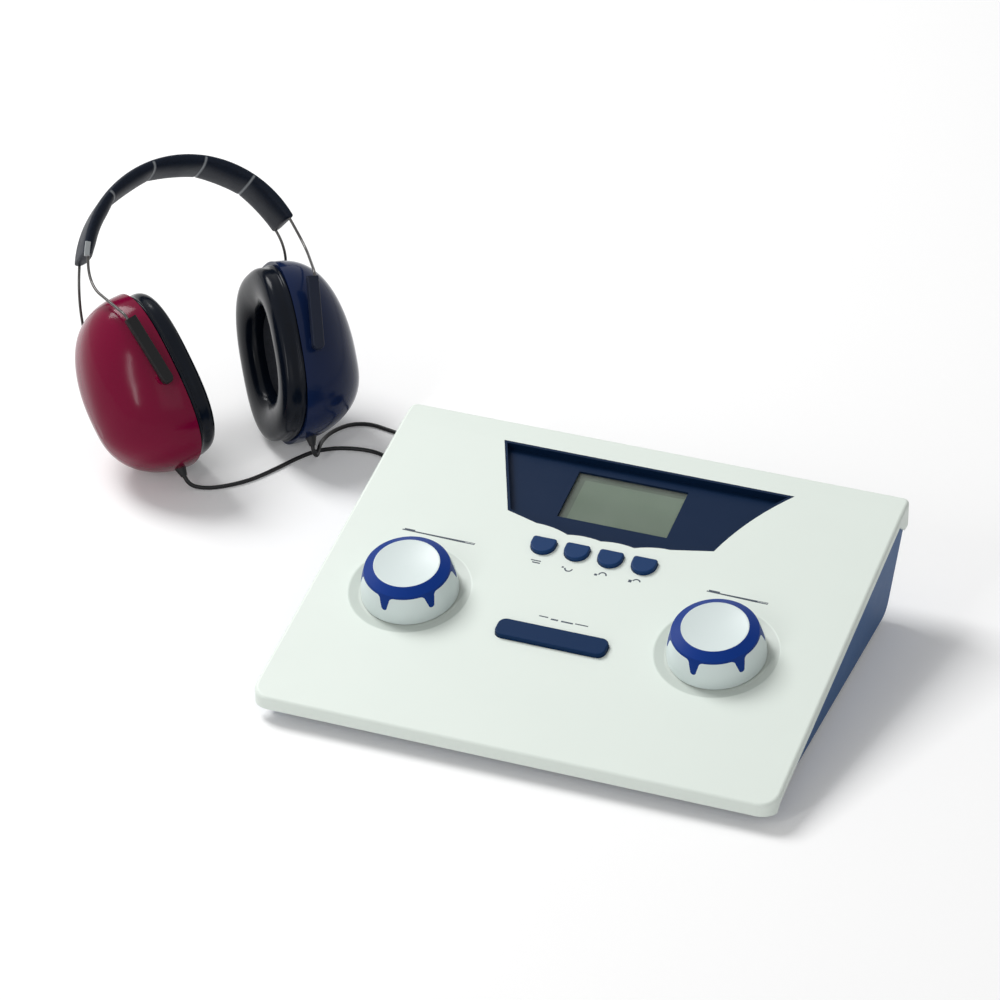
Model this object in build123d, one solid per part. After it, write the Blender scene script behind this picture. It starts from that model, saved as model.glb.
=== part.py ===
from build123d import *
import math
import os

# Portable audiometer: a wedge-shaped console with two turned knobs, four push
# buttons, a tone bar and a display, and a wired earmuff headset beside it.
# Millimetres, +Z up, resting on Z = 0. The origin is the middle of the footprint
# of the console and the headset together.

# ---------------------------------------------------------------- driving sizes
# Clearances
FIT_GAP = 0.2            # between pieces that are seated on each other
SLIDE_GAP = 0.3          # round buttons and the tone bar in their holes
SHAFT_GAP = 0.05         # radial clearance of a turning shaft or pin
SOFT_GAP = 0.3           # between a soft piece and what carries it

# Console housing
CONSOLE_X = 108.0        # middle of the console, from the origin
CONSOLE_Y = -54.8
CASE_WIDTH = 285.0
CASE_DEPTH = 226.0
PANEL_SLOPE = 13.5       # degrees
FRONT_EDGE_HEIGHT = 14.5
FRONT_SKIRT = 7.0
REAR_STRIP = 16.0        # flatter strip behind the crease
REAR_STRIP_SLOPE = 10.0  # degrees
REAR_LIP = 15.0          # height of the upright edge at the back
REAR_LEDGE = 9.5         # ledge under the rear lip
SIDE_SKIRT = 4.5
COVER_WALL = 2.5
CASE_CORNER = 10.0
CASE_REAR_CORNER = 4.0
CASE_EDGE = 2.0          # rounding of the cover's upper edge
BASE_WALL = 2.5
BASE_BOTTOM = 4.0        # underside of the base above the table
BASE_SIDE_INSET = 1.5
BASE_SIDE_TAPER = 4.5
BASE_FRONT_INSET = 9.0
BASE_REAR_INSET = 7.0
BASE_REAR_UNDERCUT = 9.0
BASE_REAR_ROUND = 8.0
BASE_CORNER = 8.0

# Feet and case screws
FOOT_RADIUS = 7.0
FOOT_RECESS = 1.0
FOOT_SIDE_INSET = 22.5   # feet and screws are placed from the case's edges
FOOT_FRONT_INSET = 23.0
FOOT_REAR_INSET = 37.0
SCREW_RADIUS = 1.5
SCREW_HEAD_RADIUS = 2.8
SCREW_HEAD_HEIGHT = 2.2
SCREW_GRIP = 4.0         # plastic under the head
SCREW_BITE = 6.5         # thread in the cover's pillar
BOSS_WALL = 1.6
CASE_SCREW_SIDE_INSET = 50.5
CASE_SCREW_FRONT_INSET = 23.0
CASE_SCREW_REAR_INSET = 57.0
FRONT_SPLIT = 10.6       # height where the front bosses meet
REAR_SPLIT = 32.0

# Panel controls, in the panel's own u (across) and v (up the slope)
CONTROL_SHIFT = -5.0     # the controls stand left of the case's middle
KNOB_SPACING = 170.2
KNOB_V = 95.0
DISH_RADIUS = 33.0
DISH_DEPTH = 1.5
DISH_SLOPE_WIDTH = 5.5
SHAFT_RADIUS = 3.0
KNOB_BASE_RADIUS = 26.0
KNOB_SHOULDER_RADIUS = 22.8
KNOB_TOP_RADIUS = 17.6
KNOB_HEIGHT = 18.4
KNOB_SHOULDER_DROP = 2.6
KNOB_WALL = 2.2
KNOB_HUB_RADIUS = 6.0
KNOB_HUB_DEPTH = 12.0
KNOB_FLOOR_GAP = 0.6
KNOB_DISH_SINK = 1.6
GRIP_THICKNESS = 1.3
GRIP_FINGERS = 6
GRIP_TIP_HEIGHT = 6.8
GRIP_ROOT_WIDTH = 10.0   # where a finger flares into the ring
GRIP_NECK_WIDTH = 5.4
GRIP_TIP_WIDTH = 3.4
GRIP_TURN = -9.5         # degrees, of the fingers from the front
DISC_RIM = 0.5

BUTTON_COUNT = 4
BUTTON_PITCH = 18.8
BUTTON_DROP = 71.9       # buttons' line from the display pocket's far edge
BUTTON_WIDTH = 13.5
BUTTON_TOP = 5.0         # from its centre to the flat edge
BUTTON_BOTTOM = 6.2      # from its centre to the round edge
BUTTON_RAISE = 2.4
BUTTON_TRAVEL = 1.2
KEY_STEM = 3.4
KEY_STEM_ENTRY = 1.2     # how far a stem sits in its switch
FLANGE = 1.0
BAR_LENGTH = 61.0
BAR_WIDTH = 12.3
BAR_CORNER = 4.4
BAR_V = 80.0
BAR_RAISE = 2.6
BAR_TRAVEL = 1.5
BAR_STEM_SPACING = 36.0

# Display
BEZEL_REAR_MARGIN = 0.6  # display pocket's far edge from the panel's crease
BEZEL_TOP_LEFT = -82.0
BEZEL_TOP_RIGHT = 83.0
BEZEL_HEIGHT = 50.9
BEZEL_LOW_LEFT = -61.0
BEZEL_LOW_RIGHT = 55.0
BEZEL_BOW_U = 66.0       # a point of the hollow right-hand edge
BEZEL_BOW_DROP = 25.0    # and its distance from the far edge
SCALLOP_MARGIN = 11.9    # cusps between the scallops, from the buttons' line
SCALLOP_RISE = 1.1
SCALLOP_SHOULDER = 3.9   # rise of the two outer cusps over the others
BEZEL_DEPTH = 4.5
BEZEL_FLOOR = 2.5
BEZEL_RIM = 1.4
BEZEL_LIP = 1.8          # ledge under the cover
LCD_DROP = 25.9          # display's middle from the far edge
LCD_WIDTH = 62.0
LCD_HEIGHT = 36.0
WINDOW_LAP = 2.0
WINDOW_THICKNESS = 1.2
LCD_MODULE_MARGIN = 6.0

# Boards and switches
BOARD_DEPTH = 14.0       # board's face below the panel's face
BOARD_THICKNESS = 1.6
BOARD_WIDTH = 214.0
BOARD_FRONT_MARGIN = 14.0  # board in front of the tone bar's line
BOARD_REAR_MARGIN = 2.0    # and short of the panel's crease
BOARD_SCREW_RADIUS = 1.2
PILLAR_RADIUS = 3.6
SWITCH_SIZE = 8.0
SWITCH_HEIGHT = 5.0
ENCODER_SIZE = 13.0
ENCODER_HEIGHT = 7.5
BUSH_RADIUS = 4.5
MAIN_BOARD_WIDTH = 170.0
MAIN_BOARD_DEPTH = 84.0
MAIN_BOARD_REAR_INSET = 37.0
MAIN_BOARD_LIFT = 5.0    # above the base's floor
STANDOFF_RADIUS = 3.2
# Chips on the main board: x, width, depth and height of each
CHIPS = [
    (-70.0, 18.0, 9.0, 2.6),
    (-44.0, 20.0, 14.0, 3.0),
    (-14.0, 22.0, 22.0, 2.4),
    (18.0, 16.0, 10.0, 8.0),
    (44.0, 24.0, 8.0, 11.0),
]
CHIP_LINE = 6.0          # chips' line behind the board's middle
CAPACITOR_COUNT = 5
CAPACITOR_PITCH = 28.0
CAPACITOR_LINE = 22.0    # in front of the board's middle
CAPACITOR_RADIUS = 4.0
CAPACITOR_HEIGHT = 9.0
BOARD_SCREW_BITE = 4.0

# Rear sockets
SOCKET_HEIGHT = 20.0     # height of the sockets' line above the table
RED_JACK_X = -20.0
BLUE_JACK_X = -100.0
SPARE_JACK_X = 14.0
POWER_INLET_X = 62.0
POWER_SWITCH_X = 98.0
JACK_BORE_RADIUS = 3.25
JACK_BUSH_RADIUS = 4.8
JACK_FLANGE_RADIUS = 6.5
JACK_FLANGE_HEIGHT = 1.6
JACK_BODY = 14.0
JACK_BODY_LENGTH = 34.0
JACK_BORE_DEPTH = 32.0
INLET_BORE_RADIUS = 2.75
INLET_PIN_RADIUS = 1.05
INLET_BODY = 9.0
INLET_BODY_LENGTH = 13.0
ROCKER_WIDTH = 13.0
ROCKER_HEIGHT = 19.0
ROCKER_TILT = 8.0        # degrees each side of level
ROCKER_FRAME = 2.5
ROCKER_DEPTH = 11.0
ROCKER_PIN_RADIUS = 1.2

# Headset plugs
PLUG_PIN_RADIUS = 3.15
PLUG_PIN_LENGTH = 30.0
PLUG_BODY_RADIUS = 5.6
PLUG_BODY_LENGTH = 24.0
PLUG_RELIEF_LENGTH = 12.0

# Headset, in its own plane: x towards the blue cup, y towards the crown, z forward
HEADSET_X = -296.3       # middle of the headband's arc, from the console's middle
HEADSET_Y = 160.2
HEADSET_Z = 94.6
HEADSET_YAW = 45.5       # degrees
HEADSET_LEAN = 41.0      # degrees, crown away from the console's front
BAND_RADIUS = 65.4       # outside of the pad, halfway across it
BAND_THICKNESS = 6.2
BAND_WIDTH = 30.0
BAND_FLARE = 2.0         # degrees, the band is wider round at its front edge
PAD_CORNER = 1.6
BAND_RIGHT_END = 75.0    # degrees from the crown
BAND_LEFT_END = -72.0
BAND_SLIDE = 12.0        # how far the headband draws out of its guides
BAND_SLIDE_TURN = 3.0    # degrees, of the guides' middle line from the crown line
WIRE_RADIUS = 0.8
WIRE_SPACING = 26.0
WIRE_LEG = 17.0          # straight on from the band's arc
WIRE_ABOVE_GUIDE = 3.0
WIRE_IN_GUIDE = 33.0
LEG_SWEEP = 0.9          # share of a straight run that its bend takes
CUP_X = 37.8             # middle of each cup's rim
CUP_Y = -56.2
RED_LEAN = 11.0          # degrees
BLUE_LEAN = 5.2
RED_SPLAY = 17.0         # guides from the crown line, degrees
BLUE_SPLAY = 11.0
GUIDE_LENGTH = 42.0
GUIDE_WIDTH = 6.6
GUIDE_WALL = 0.8
GUIDE_THICKNESS = 4.4
GUIDE_TAIL = 5.0         # guide below its pivot
GUIDE_LINE = 45.6        # guides' middle in front of and behind the headset's plane
PIVOT_OUT = 8.5          # pivot on the cup, from its rim plane
PIVOT_DOWN = 5.0
PIVOT_RADIUS = 1.5
PIVOT_BOSS_RADIUS = 4.0

# Ear cups
CUP_HALF_HEIGHT = 51.5
CUP_HALF_WIDTH = 42.0
CUP_DEPTH = 42.5
CUP_APEX_DROP = 15.6
CUP_WALL = 2.4
CUP_SQUARENESS = 2.6     # exponent of the oval
CUP_TOP_POWER = 2.8
CUP_BOTTOM_POWER = 1.96
CUP_SIDE_POWER = 1.87
CUP_SECTIONS = (0.0, 0.2, 0.4, 0.58, 0.74, 0.86, 0.94, 0.98, 0.9965)
OVAL_POINTS = 24
PLATE_THICKNESS = 2.0
CUSHION_THICKNESS = 13.2
CUSHION_HALF_HEIGHT = 49.5
CUSHION_HALF_WIDTH = 42.5
CUSHION_ROUND = 6.0
EAR_HALF_HEIGHT = 26.5
EAR_HALF_WIDTH = 21.0
RECEIVER_RADIUS = 20.0
RECEIVER_HEIGHT = 13.0
RECEIVER_HOLE_RADIUS = 17.0
FOAM_THICKNESS = 4.0
RELIEF_OUT = 8.0         # strain relief from the rim plane
RELIEF_SIDE = -3.0
RELIEF_RADIUS = 3.2
RELIEF_TIP_RADIUS = 1.7
RELIEF_INSIDE = 5.0
RELIEF_LENGTH = 5.0
LEAD_RADIUS = 1.2

# Unseen length of each lead, wound up behind the console
COIL_MEAN_RADIUS = 13.0
COIL_RADIAL_WIDTH = 12.0
COIL_HEIGHT = 9.6
BLUE_COIL = (-137.0, 167.4)  # from the console's middle
RED_COIL = (-61.1, 166.1)

# ---------------------------------------------------------------- worked-out sizes
HALF_WIDTH = CASE_WIDTH / 2
HALF_DEPTH = CASE_DEPTH / 2
SLOPE = math.radians(PANEL_SLOPE)
CONSOLE = Location((CONSOLE_X, CONSOLE_Y, 0))
PANEL_PLANE = Plane(
    origin=(0, -HALF_DEPTH, FRONT_EDGE_HEIGHT),
    x_dir=(1, 0, 0),
    z_dir=(0, -math.sin(SLOPE), math.cos(SLOPE)),
)
PANEL = PANEL_PLANE.location
CREASE_Y = HALF_DEPTH - REAR_STRIP
PANEL_LENGTH = (CASE_DEPTH - REAR_STRIP) / math.cos(SLOPE)
BEZEL_TOP_V = PANEL_LENGTH - BEZEL_REAR_MARGIN
BEZEL_LOW_V = BEZEL_TOP_V - BEZEL_HEIGHT
BEZEL_BOW_V = BEZEL_TOP_V - BEZEL_BOW_DROP
LCD_V = BEZEL_TOP_V - LCD_DROP
BUTTON_V = BEZEL_TOP_V - BUTTON_DROP
SCALLOP_V = BUTTON_V + SCALLOP_MARGIN
BOARD_HIGH_V = PANEL_LENGTH - BOARD_REAR_MARGIN
BOARD_LOW_V = BAR_V - BOARD_FRONT_MARGIN
MAIN_BOARD_Y = HALF_DEPTH - MAIN_BOARD_REAR_INSET - MAIN_BOARD_DEPTH / 2
FLARE = math.radians(BAND_FLARE)
WIRE_LINE_RADIUS = BAND_RADIUS - BAND_THICKNESS / 2
KNOB_U = [CONTROL_SHIFT - KNOB_SPACING / 2, CONTROL_SHIFT + KNOB_SPACING / 2]
BUTTON_U = [CONTROL_SHIFT + (i - (BUTTON_COUNT - 1) / 2) * BUTTON_PITCH for i in range(BUTTON_COUNT)]
PANEL_UNDERSIDE = -COVER_WALL
BASE_FLOOR = BASE_BOTTOM + BASE_WALL
BOARD_BACK = -BOARD_DEPTH - BOARD_THICKNESS


def panel_height(y):
    """Height of the panel's face above the table at a given y of the console."""
    rise = (min(y, CREASE_Y) + HALF_DEPTH) * math.tan(SLOPE)
    strip = max(y - CREASE_Y, 0) * math.tan(math.radians(REAR_STRIP_SLOPE))
    return FRONT_EDGE_HEIGHT + rise + strip


LIP_Z = panel_height(HALF_DEPTH) - REAR_LIP
VERTICAL_WALL = COVER_WALL / math.cos(SLOPE)


def side_profile(points, half_length):
    """A prism along X from points (y, z)."""
    outline = make_face(Plane.YZ * Polyline(*points, close=True))
    return extrude(outline, half_length, both=True)


def tall_prism(width, depth, inset):
    """The console's plan as an upright block, taller than the console."""
    plan = Rectangle(width, depth)
    plan = fillet(plan.vertices().group_by(Axis.Y)[0], CASE_CORNER - inset)
    plan = fillet(plan.vertices().group_by(Axis.Y)[-1], CASE_REAR_CORNER - inset)
    return extrude(plan, 2 * CASE_DEPTH / 2, both=True)


def cylinder_up(radius, low, high):
    """A cylinder on the Z axis between two heights."""
    return Pos(0, 0, low) * extrude(Circle(radius), high - low)


def block_up(width, depth, low, high):
    """A block on the Z axis between two heights."""
    return Pos(0, 0, low) * extrude(Rectangle(width, depth), high - low)


nodes = {}


def keep(name, shape, place=Location()):
    """Store a finished piece, or several alike, under one name."""
    pieces = shape if isinstance(shape, list) else [shape]
    placed = [place * piece for piece in pieces]
    nodes[name] = placed[0] if len(placed) == 1 else Compound(children=placed)


# ---------------------------------------------------------------- top cover
def cover_skirt(y):
    """Lower edge of the cover's side skirt."""
    return panel_height(y) - SIDE_SKIRT


def cover_block():
    """The cover's outside."""
    skirt_front = -HALF_DEPTH + BASE_FRONT_INSET
    skirt_rear = HALF_DEPTH - REAR_LEDGE * 2
    block = side_profile(
        [
            (-HALF_DEPTH, FRONT_EDGE_HEIGHT - FRONT_SKIRT),
            (-HALF_DEPTH, FRONT_EDGE_HEIGHT),
            (CREASE_Y, panel_height(CREASE_Y)),
            (HALF_DEPTH, panel_height(HALF_DEPTH)),
            (HALF_DEPTH, LIP_Z),
            (HALF_DEPTH - REAR_LEDGE, LIP_Z),
            (skirt_rear, cover_skirt(skirt_rear)),
            (skirt_front, cover_skirt(skirt_front)),
            (skirt_front - COVER_WALL, FRONT_EDGE_HEIGHT - FRONT_SKIRT),
        ],
        CASE_WIDTH,
    )
    block = block & tall_prism(CASE_WIDTH, CASE_DEPTH, 0)
    return fillet(upper_rim(block), CASE_EDGE)


def upper_rim(block):
    """The edge loop where the cover's top meets its upright walls."""
    rim = []
    for edge in block.edges():
        middle = edge.position_at(0.5)
        on_wall = abs(abs(middle.X) - HALF_WIDTH) < 0.01 or abs(abs(middle.Y) - HALF_DEPTH) < 0.01
        in_corner = abs(middle.X) > HALF_WIDTH - CASE_CORNER and abs(middle.Y) > HALF_DEPTH - CASE_CORNER
        near_top = abs(middle.Z - panel_height(middle.Y)) < CASE_EDGE
        if (on_wall or in_corner) and near_top and abs(edge.tangent_at(0.5).Z) < 0.9:
            rim.append(edge)
    return rim


def cover_cavity():
    """The hollow under the cover."""
    front = -HALF_DEPTH + COVER_WALL
    rear = HALF_DEPTH - COVER_WALL
    open_bottom = -CASE_DEPTH
    hollow = side_profile(
        [
            (front, open_bottom),
            (front, panel_height(front) - VERTICAL_WALL),
            (CREASE_Y, panel_height(CREASE_Y) - VERTICAL_WALL),
            (rear, panel_height(rear) - VERTICAL_WALL),
            (rear, LIP_Z + COVER_WALL),
            (HALF_DEPTH - REAR_LEDGE, LIP_Z + COVER_WALL),
            (HALF_DEPTH - REAR_LEDGE, open_bottom),
        ],
        CASE_WIDTH,
    )
    inside = tall_prism(CASE_WIDTH - 2 * COVER_WALL, CASE_DEPTH - 2 * COVER_WALL, COVER_WALL)
    return hollow & inside


def knob_dish():
    """The shallow dish round a knob, and the hole for its bush."""
    floor_radius = DISH_RADIUS - DISH_SLOPE_WIDTH
    cone = Pos(0, 0, -DISH_DEPTH) * Cone(
        floor_radius, DISH_RADIUS, DISH_DEPTH, align=(Align.CENTER, Align.CENTER, Align.MIN)
    )
    cone += cylinder_up(DISH_RADIUS, 0, KNOB_HEIGHT)
    hole = cylinder_up(BUSH_RADIUS + SLIDE_GAP, -BOARD_DEPTH, KNOB_HEIGHT)
    return cone + hole


def button_outline(grow=0.0):
    """A button's outline: flat far edge, round near edge."""
    half = BUTTON_WIDTH / 2 + grow
    corner_y = BUTTON_TOP + grow
    outline = make_face(
        [
            Line((-half, corner_y), (half, corner_y)),
            Line((half, corner_y), (half, 0)),
            ThreePointArc((half, 0), (0, -BUTTON_BOTTOM - grow), (-half, 0)),
            Line((-half, 0), (-half, corner_y)),
        ]
    )
    corners = outline.vertices().sort_by(Axis.Y)[-2:]
    return fillet(corners, BUTTON_WIDTH / 8)


def bezel_outline():
    """The display pocket: straight left, hollow right, scalloped round the buttons."""
    half_pitch = BUTTON_PITCH / 2
    cusps = [(u - half_pitch, SCALLOP_V) for u in BUTTON_U]
    cusps.append((BUTTON_U[-1] + half_pitch, SCALLOP_V))
    for end in (0, -1):
        cusps[end] = (cusps[end][0], SCALLOP_V + SCALLOP_SHOULDER)
    edges = [
        Line((BEZEL_TOP_LEFT, BEZEL_TOP_V), (BEZEL_TOP_RIGHT, BEZEL_TOP_V)),
        ThreePointArc(
            (BEZEL_TOP_RIGHT, BEZEL_TOP_V), (BEZEL_BOW_U, BEZEL_BOW_V), (BEZEL_LOW_RIGHT, BEZEL_LOW_V)
        ),
        Line((BEZEL_LOW_RIGHT, BEZEL_LOW_V), cusps[-1]),
        Line(cusps[0], (BEZEL_LOW_LEFT, BEZEL_LOW_V)),
        Line((BEZEL_LOW_LEFT, BEZEL_LOW_V), (BEZEL_TOP_LEFT, BEZEL_TOP_V)),
    ]
    for left, right in zip(cusps, cusps[1:]):
        crown = ((left[0] + right[0]) / 2, (left[1] + right[1]) / 2 + SCALLOP_RISE)
        edges.append(ThreePointArc(right, crown, left))
    return make_face(edges)


def bar_outline(grow=0.0):
    return RectangleRounded(BAR_LENGTH + 2 * grow, BAR_WIDTH + 2 * grow, BAR_CORNER + grow)


def control_pillar_places():
    """Where the control board is screwed under the cover."""
    edge_u = BOARD_WIDTH / 2 - 2 * PILLAR_RADIUS
    low = BOARD_LOW_V + 2 * PILLAR_RADIUS
    high = BOARD_HIGH_V - 2 * PILLAR_RADIUS
    middle = KNOB_V + PILLAR_RADIUS
    inner_u = KNOB_SPACING / 4
    places = []
    for side in (-1, 1):
        places.append((CONTROL_SHIFT + side * edge_u, low))
        places.append((CONTROL_SHIFT + side * edge_u, high))
        places.append((CONTROL_SHIFT + side * inner_u, middle))
    return places


def case_screw_places():
    """(x, y, height of the split) for each case screw."""
    places = []
    for side in (-1, 1):
        x = side * (HALF_WIDTH - CASE_SCREW_SIDE_INSET)
        places.append((x, -HALF_DEPTH + CASE_SCREW_FRONT_INSET, FRONT_SPLIT))
        places.append((x, HALF_DEPTH - CASE_SCREW_REAR_INSET, REAR_SPLIT))
    return places


def make_cover():
    cover = cover_block() - cover_cavity()
    for u, v in control_pillar_places():
        pillar = cylinder_up(PILLAR_RADIUS, -BOARD_DEPTH, PANEL_UNDERSIDE + FIT_GAP)
        pillar -= cylinder_up(BOARD_SCREW_RADIUS + SHAFT_GAP, -BOARD_DEPTH, PANEL_UNDERSIDE - COVER_WALL)
        cover += PANEL * Pos(u, v, 0) * pillar
    for x, y, split in case_screw_places():
        root = panel_height(y) - COVER_WALL
        boss = cylinder_up(SCREW_RADIUS + BOSS_WALL, split, root)
        boss -= cylinder_up(SCREW_RADIUS + SHAFT_GAP, split, split + SCREW_BITE + FIT_GAP)
        cover += Pos(x, y, 0) * boss
    for u in KNOB_U:
        cover -= PANEL * Pos(u, KNOB_V, 0) * knob_dish()
    for u in BUTTON_U:
        hole = extrude(button_outline(SLIDE_GAP), COVER_WALL * 2, both=True)
        cover -= PANEL * Pos(u, BUTTON_V, 0) * hole
    bar_hole = extrude(bar_outline(SLIDE_GAP), COVER_WALL * 2, both=True)
    cover -= PANEL * Pos(CONTROL_SHIFT, BAR_V, 0) * bar_hole
    cover -= PANEL * extrude(offset(bezel_outline(), FIT_GAP / 2), COVER_WALL * 2, both=True)
    return cover


# ---------------------------------------------------------------- base
BASE_TOP_HALF = HALF_WIDTH - BASE_SIDE_INSET
BASE_LOW_HALF = BASE_TOP_HALF - BASE_SIDE_TAPER
REAR_WALL_TOP = (HALF_DEPTH - BASE_REAR_INSET, LIP_Z - FIT_GAP)
REAR_WALL_LOW = (REAR_WALL_TOP[0] - BASE_REAR_UNDERCUT, BASE_BOTTOM)
REAR_LEAN = math.atan2(BASE_REAR_UNDERCUT, REAR_WALL_TOP[1] - REAR_WALL_LOW[1])
REAR_WALL_ALONG = BASE_WALL / math.cos(REAR_LEAN)


def front_trapezium(inset, floor):
    """A prism along Y with the base's tapered sides, pulled in by inset."""
    top = panel_height(HALF_DEPTH)
    grow = BASE_SIDE_TAPER * (top - BASE_BOTTOM) / (LIP_Z - BASE_BOTTOM)
    low = BASE_LOW_HALF - inset
    points = [(-low, floor), (low, floor), (low + grow, top), (-low - grow, top)]
    outline = make_face(Plane.XZ * Polyline(*points, close=True))
    return extrude(outline, CASE_DEPTH, both=True)


def base_top_line(gap):
    """Points of the base's upper edge, front to rear."""
    front = -HALF_DEPTH + BASE_FRONT_INSET
    knee = HALF_DEPTH - REAR_LEDGE * 2
    return [(front, cover_skirt(front) - gap), (knee, cover_skirt(knee) - gap)]


def make_base():
    front = -HALF_DEPTH + BASE_FRONT_INSET
    line = base_top_line(FIT_GAP)
    outer = side_profile(
        [
            (front, BASE_BOTTOM),
            line[0],
            line[1],
            (HALF_DEPTH - REAR_LEDGE, LIP_Z - FIT_GAP),
            REAR_WALL_TOP,
            REAR_WALL_LOW,
        ],
        CASE_WIDTH,
    )
    outer = outer & front_trapezium(0, BASE_BOTTOM)
    rear_bottom = outer.edges().filter_by(Axis.X).sort_by(
        lambda e: abs(e.center().Y - REAR_WALL_LOW[0]) + abs(e.center().Z - REAR_WALL_LOW[1])
    )[0]
    outer = fillet(rear_bottom, BASE_REAR_ROUND)
    inner_front = front + BASE_WALL
    inner_low_y = REAR_WALL_LOW[0] - REAR_WALL_ALONG + BASE_WALL * math.tan(REAR_LEAN)
    inner_top_y = REAR_WALL_TOP[0] - REAR_WALL_ALONG + CASE_DEPTH * math.tan(REAR_LEAN)
    inner = side_profile(
        [
            (inner_front, BASE_FLOOR),
            (inner_front, CASE_DEPTH),
            (inner_top_y, REAR_WALL_TOP[1] + CASE_DEPTH),
            (inner_low_y, BASE_FLOOR),
        ],
        CASE_WIDTH,
    )
    inner = inner & front_trapezium(BASE_WALL, BASE_FLOOR)
    inner_rear = inner.edges().filter_by(Axis.X).sort_by(
        lambda e: abs(e.center().Y - inner_low_y) + abs(e.center().Z - BASE_FLOOR)
    )[0]
    inner = fillet(inner_rear, BASE_REAR_ROUND - BASE_WALL)
    base = outer - inner
    for x, y, split in case_screw_places():
        head_seat = split - SCREW_GRIP
        boss = cylinder_up(SCREW_HEAD_RADIUS + BOSS_WALL, BASE_BOTTOM, split - FIT_GAP)
        bore = cylinder_up(SCREW_HEAD_RADIUS + SLIDE_GAP, 0, head_seat)
        bore += cylinder_up(SCREW_RADIUS + SLIDE_GAP, head_seat - FIT_GAP, split)
        base += Pos(x, y, 0) * boss
        base -= Pos(x, y, 0) * bore
    for x, y in main_board_screw_places():
        post = cylinder_up(STANDOFF_RADIUS, BASE_FLOOR - FIT_GAP, BASE_FLOOR + MAIN_BOARD_LIFT)
        post -= cylinder_up(BOARD_SCREW_RADIUS + SHAFT_GAP, BASE_FLOOR, BASE_FLOOR + MAIN_BOARD_LIFT)
        base += Pos(x, y, 0) * post
    for x, y in foot_places():
        base -= Pos(x, y, 0) * cylinder_up(FOOT_RADIUS + FIT_GAP, 0, BASE_BOTTOM + FOOT_RECESS)
    for x in (RED_JACK_X, BLUE_JACK_X, SPARE_JACK_X):
        base -= rear_place(x) * cylinder_up(JACK_BUSH_RADIUS + FIT_GAP, -2 * BASE_WALL, BASE_WALL)
    base -= rear_place(POWER_INLET_X) * block_up(
        INLET_BODY + 2 * FIT_GAP, INLET_BODY + 2 * FIT_GAP, -2 * BASE_WALL, BASE_WALL
    )
    base -= rear_place(POWER_SWITCH_X) * block_up(
        ROCKER_WIDTH + 2 * ROCKER_FRAME - 2, ROCKER_HEIGHT + 2 * ROCKER_FRAME - 2, -2 * BASE_WALL, BASE_WALL
    )
    return base


def foot_places():
    x = HALF_WIDTH - FOOT_SIDE_INSET
    rows = (-HALF_DEPTH + FOOT_FRONT_INSET, HALF_DEPTH - FOOT_REAR_INSET)
    return [(side * x, y) for side in (-1, 1) for y in rows]


def main_board_screw_places():
    half_w = MAIN_BOARD_WIDTH / 2 - 2 * STANDOFF_RADIUS
    half_d = MAIN_BOARD_DEPTH / 2 - 2 * STANDOFF_RADIUS
    return [(sx * half_w, MAIN_BOARD_Y + sy * half_d) for sx in (-1, 1) for sy in (-1, 1)]


def rear_place(x):
    """A place on the rear wall's outside, z out of the wall, y up it."""
    up_wall = SOCKET_HEIGHT - REAR_WALL_LOW[1]
    y = REAR_WALL_LOW[0] + up_wall * math.tan(REAR_LEAN)
    wall = Plane(
        origin=(x, y, SOCKET_HEIGHT),
        x_dir=(-1, 0, 0),
        z_dir=(0, math.cos(REAR_LEAN), -math.sin(REAR_LEAN)),
    )
    return wall.location


def make_feet():
    feet = []
    for x, y in foot_places():
        foot = cylinder_up(FOOT_RADIUS, 0, BASE_BOTTOM + FOOT_RECESS)
        foot = fillet(foot.edges().sort_by(Axis.Z)[0], FOOT_RECESS)
        feet.append(Pos(x, y, 0) * foot)
    return feet


def screw(radius, head_radius, head_height, length):
    """A screw with its head's seat at Z = 0 and its thread upwards, with a cross slot."""
    body = cylinder_up(head_radius, -head_height, 0) + cylinder_up(radius, 0, length)
    slot = block_up(head_radius * 1.2, head_radius / 4, -head_height, -head_height / 2)
    return body - slot - Rot(0, 0, 90) * slot


def make_case_screws():
    screws = []
    for x, y, split in case_screw_places():
        one = screw(SCREW_RADIUS, SCREW_HEAD_RADIUS, SCREW_HEAD_HEIGHT, SCREW_GRIP + SCREW_BITE)
        screws.append(Pos(x, y, split - SCREW_GRIP) * one)
    return screws


def board_screw(grip, bite):
    head = 2 * BOARD_SCREW_RADIUS
    return screw(BOARD_SCREW_RADIUS, head, BOARD_SCREW_RADIUS, grip + bite)


def make_board_screws():
    """Screws of the control board from below and of the main board from above."""
    screws = []
    for u, v in control_pillar_places():
        one = board_screw(BOARD_THICKNESS, BOARD_SCREW_BITE)
        screws.append(PANEL * Pos(u, v, BOARD_BACK) * one)
    for x, y in main_board_screw_places():
        one = Rot(180, 0, 0) * board_screw(BOARD_THICKNESS, BOARD_SCREW_BITE)
        top = BASE_FLOOR + MAIN_BOARD_LIFT + BOARD_THICKNESS
        screws.append(Pos(x, y, top) * one)
    return screws


# ---------------------------------------------------------------- boards
def make_control_board():
    board = Pos(CONTROL_SHIFT, (BOARD_LOW_V + BOARD_HIGH_V) / 2, 0) * block_up(
        BOARD_WIDTH, BOARD_HIGH_V - BOARD_LOW_V, BOARD_BACK, -BOARD_DEPTH
    )
    for u, v in control_pillar_places():
        board -= Pos(u, v, 0) * cylinder_up(BOARD_SCREW_RADIUS + FIT_GAP, BOARD_BACK, -BOARD_DEPTH)
    board = PANEL * board
    for x, y, split in case_screw_places():
        board -= Pos(x, y, 0) * cylinder_up(SCREW_RADIUS + 2 * BOSS_WALL, split, panel_height(y))
    return board


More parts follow.
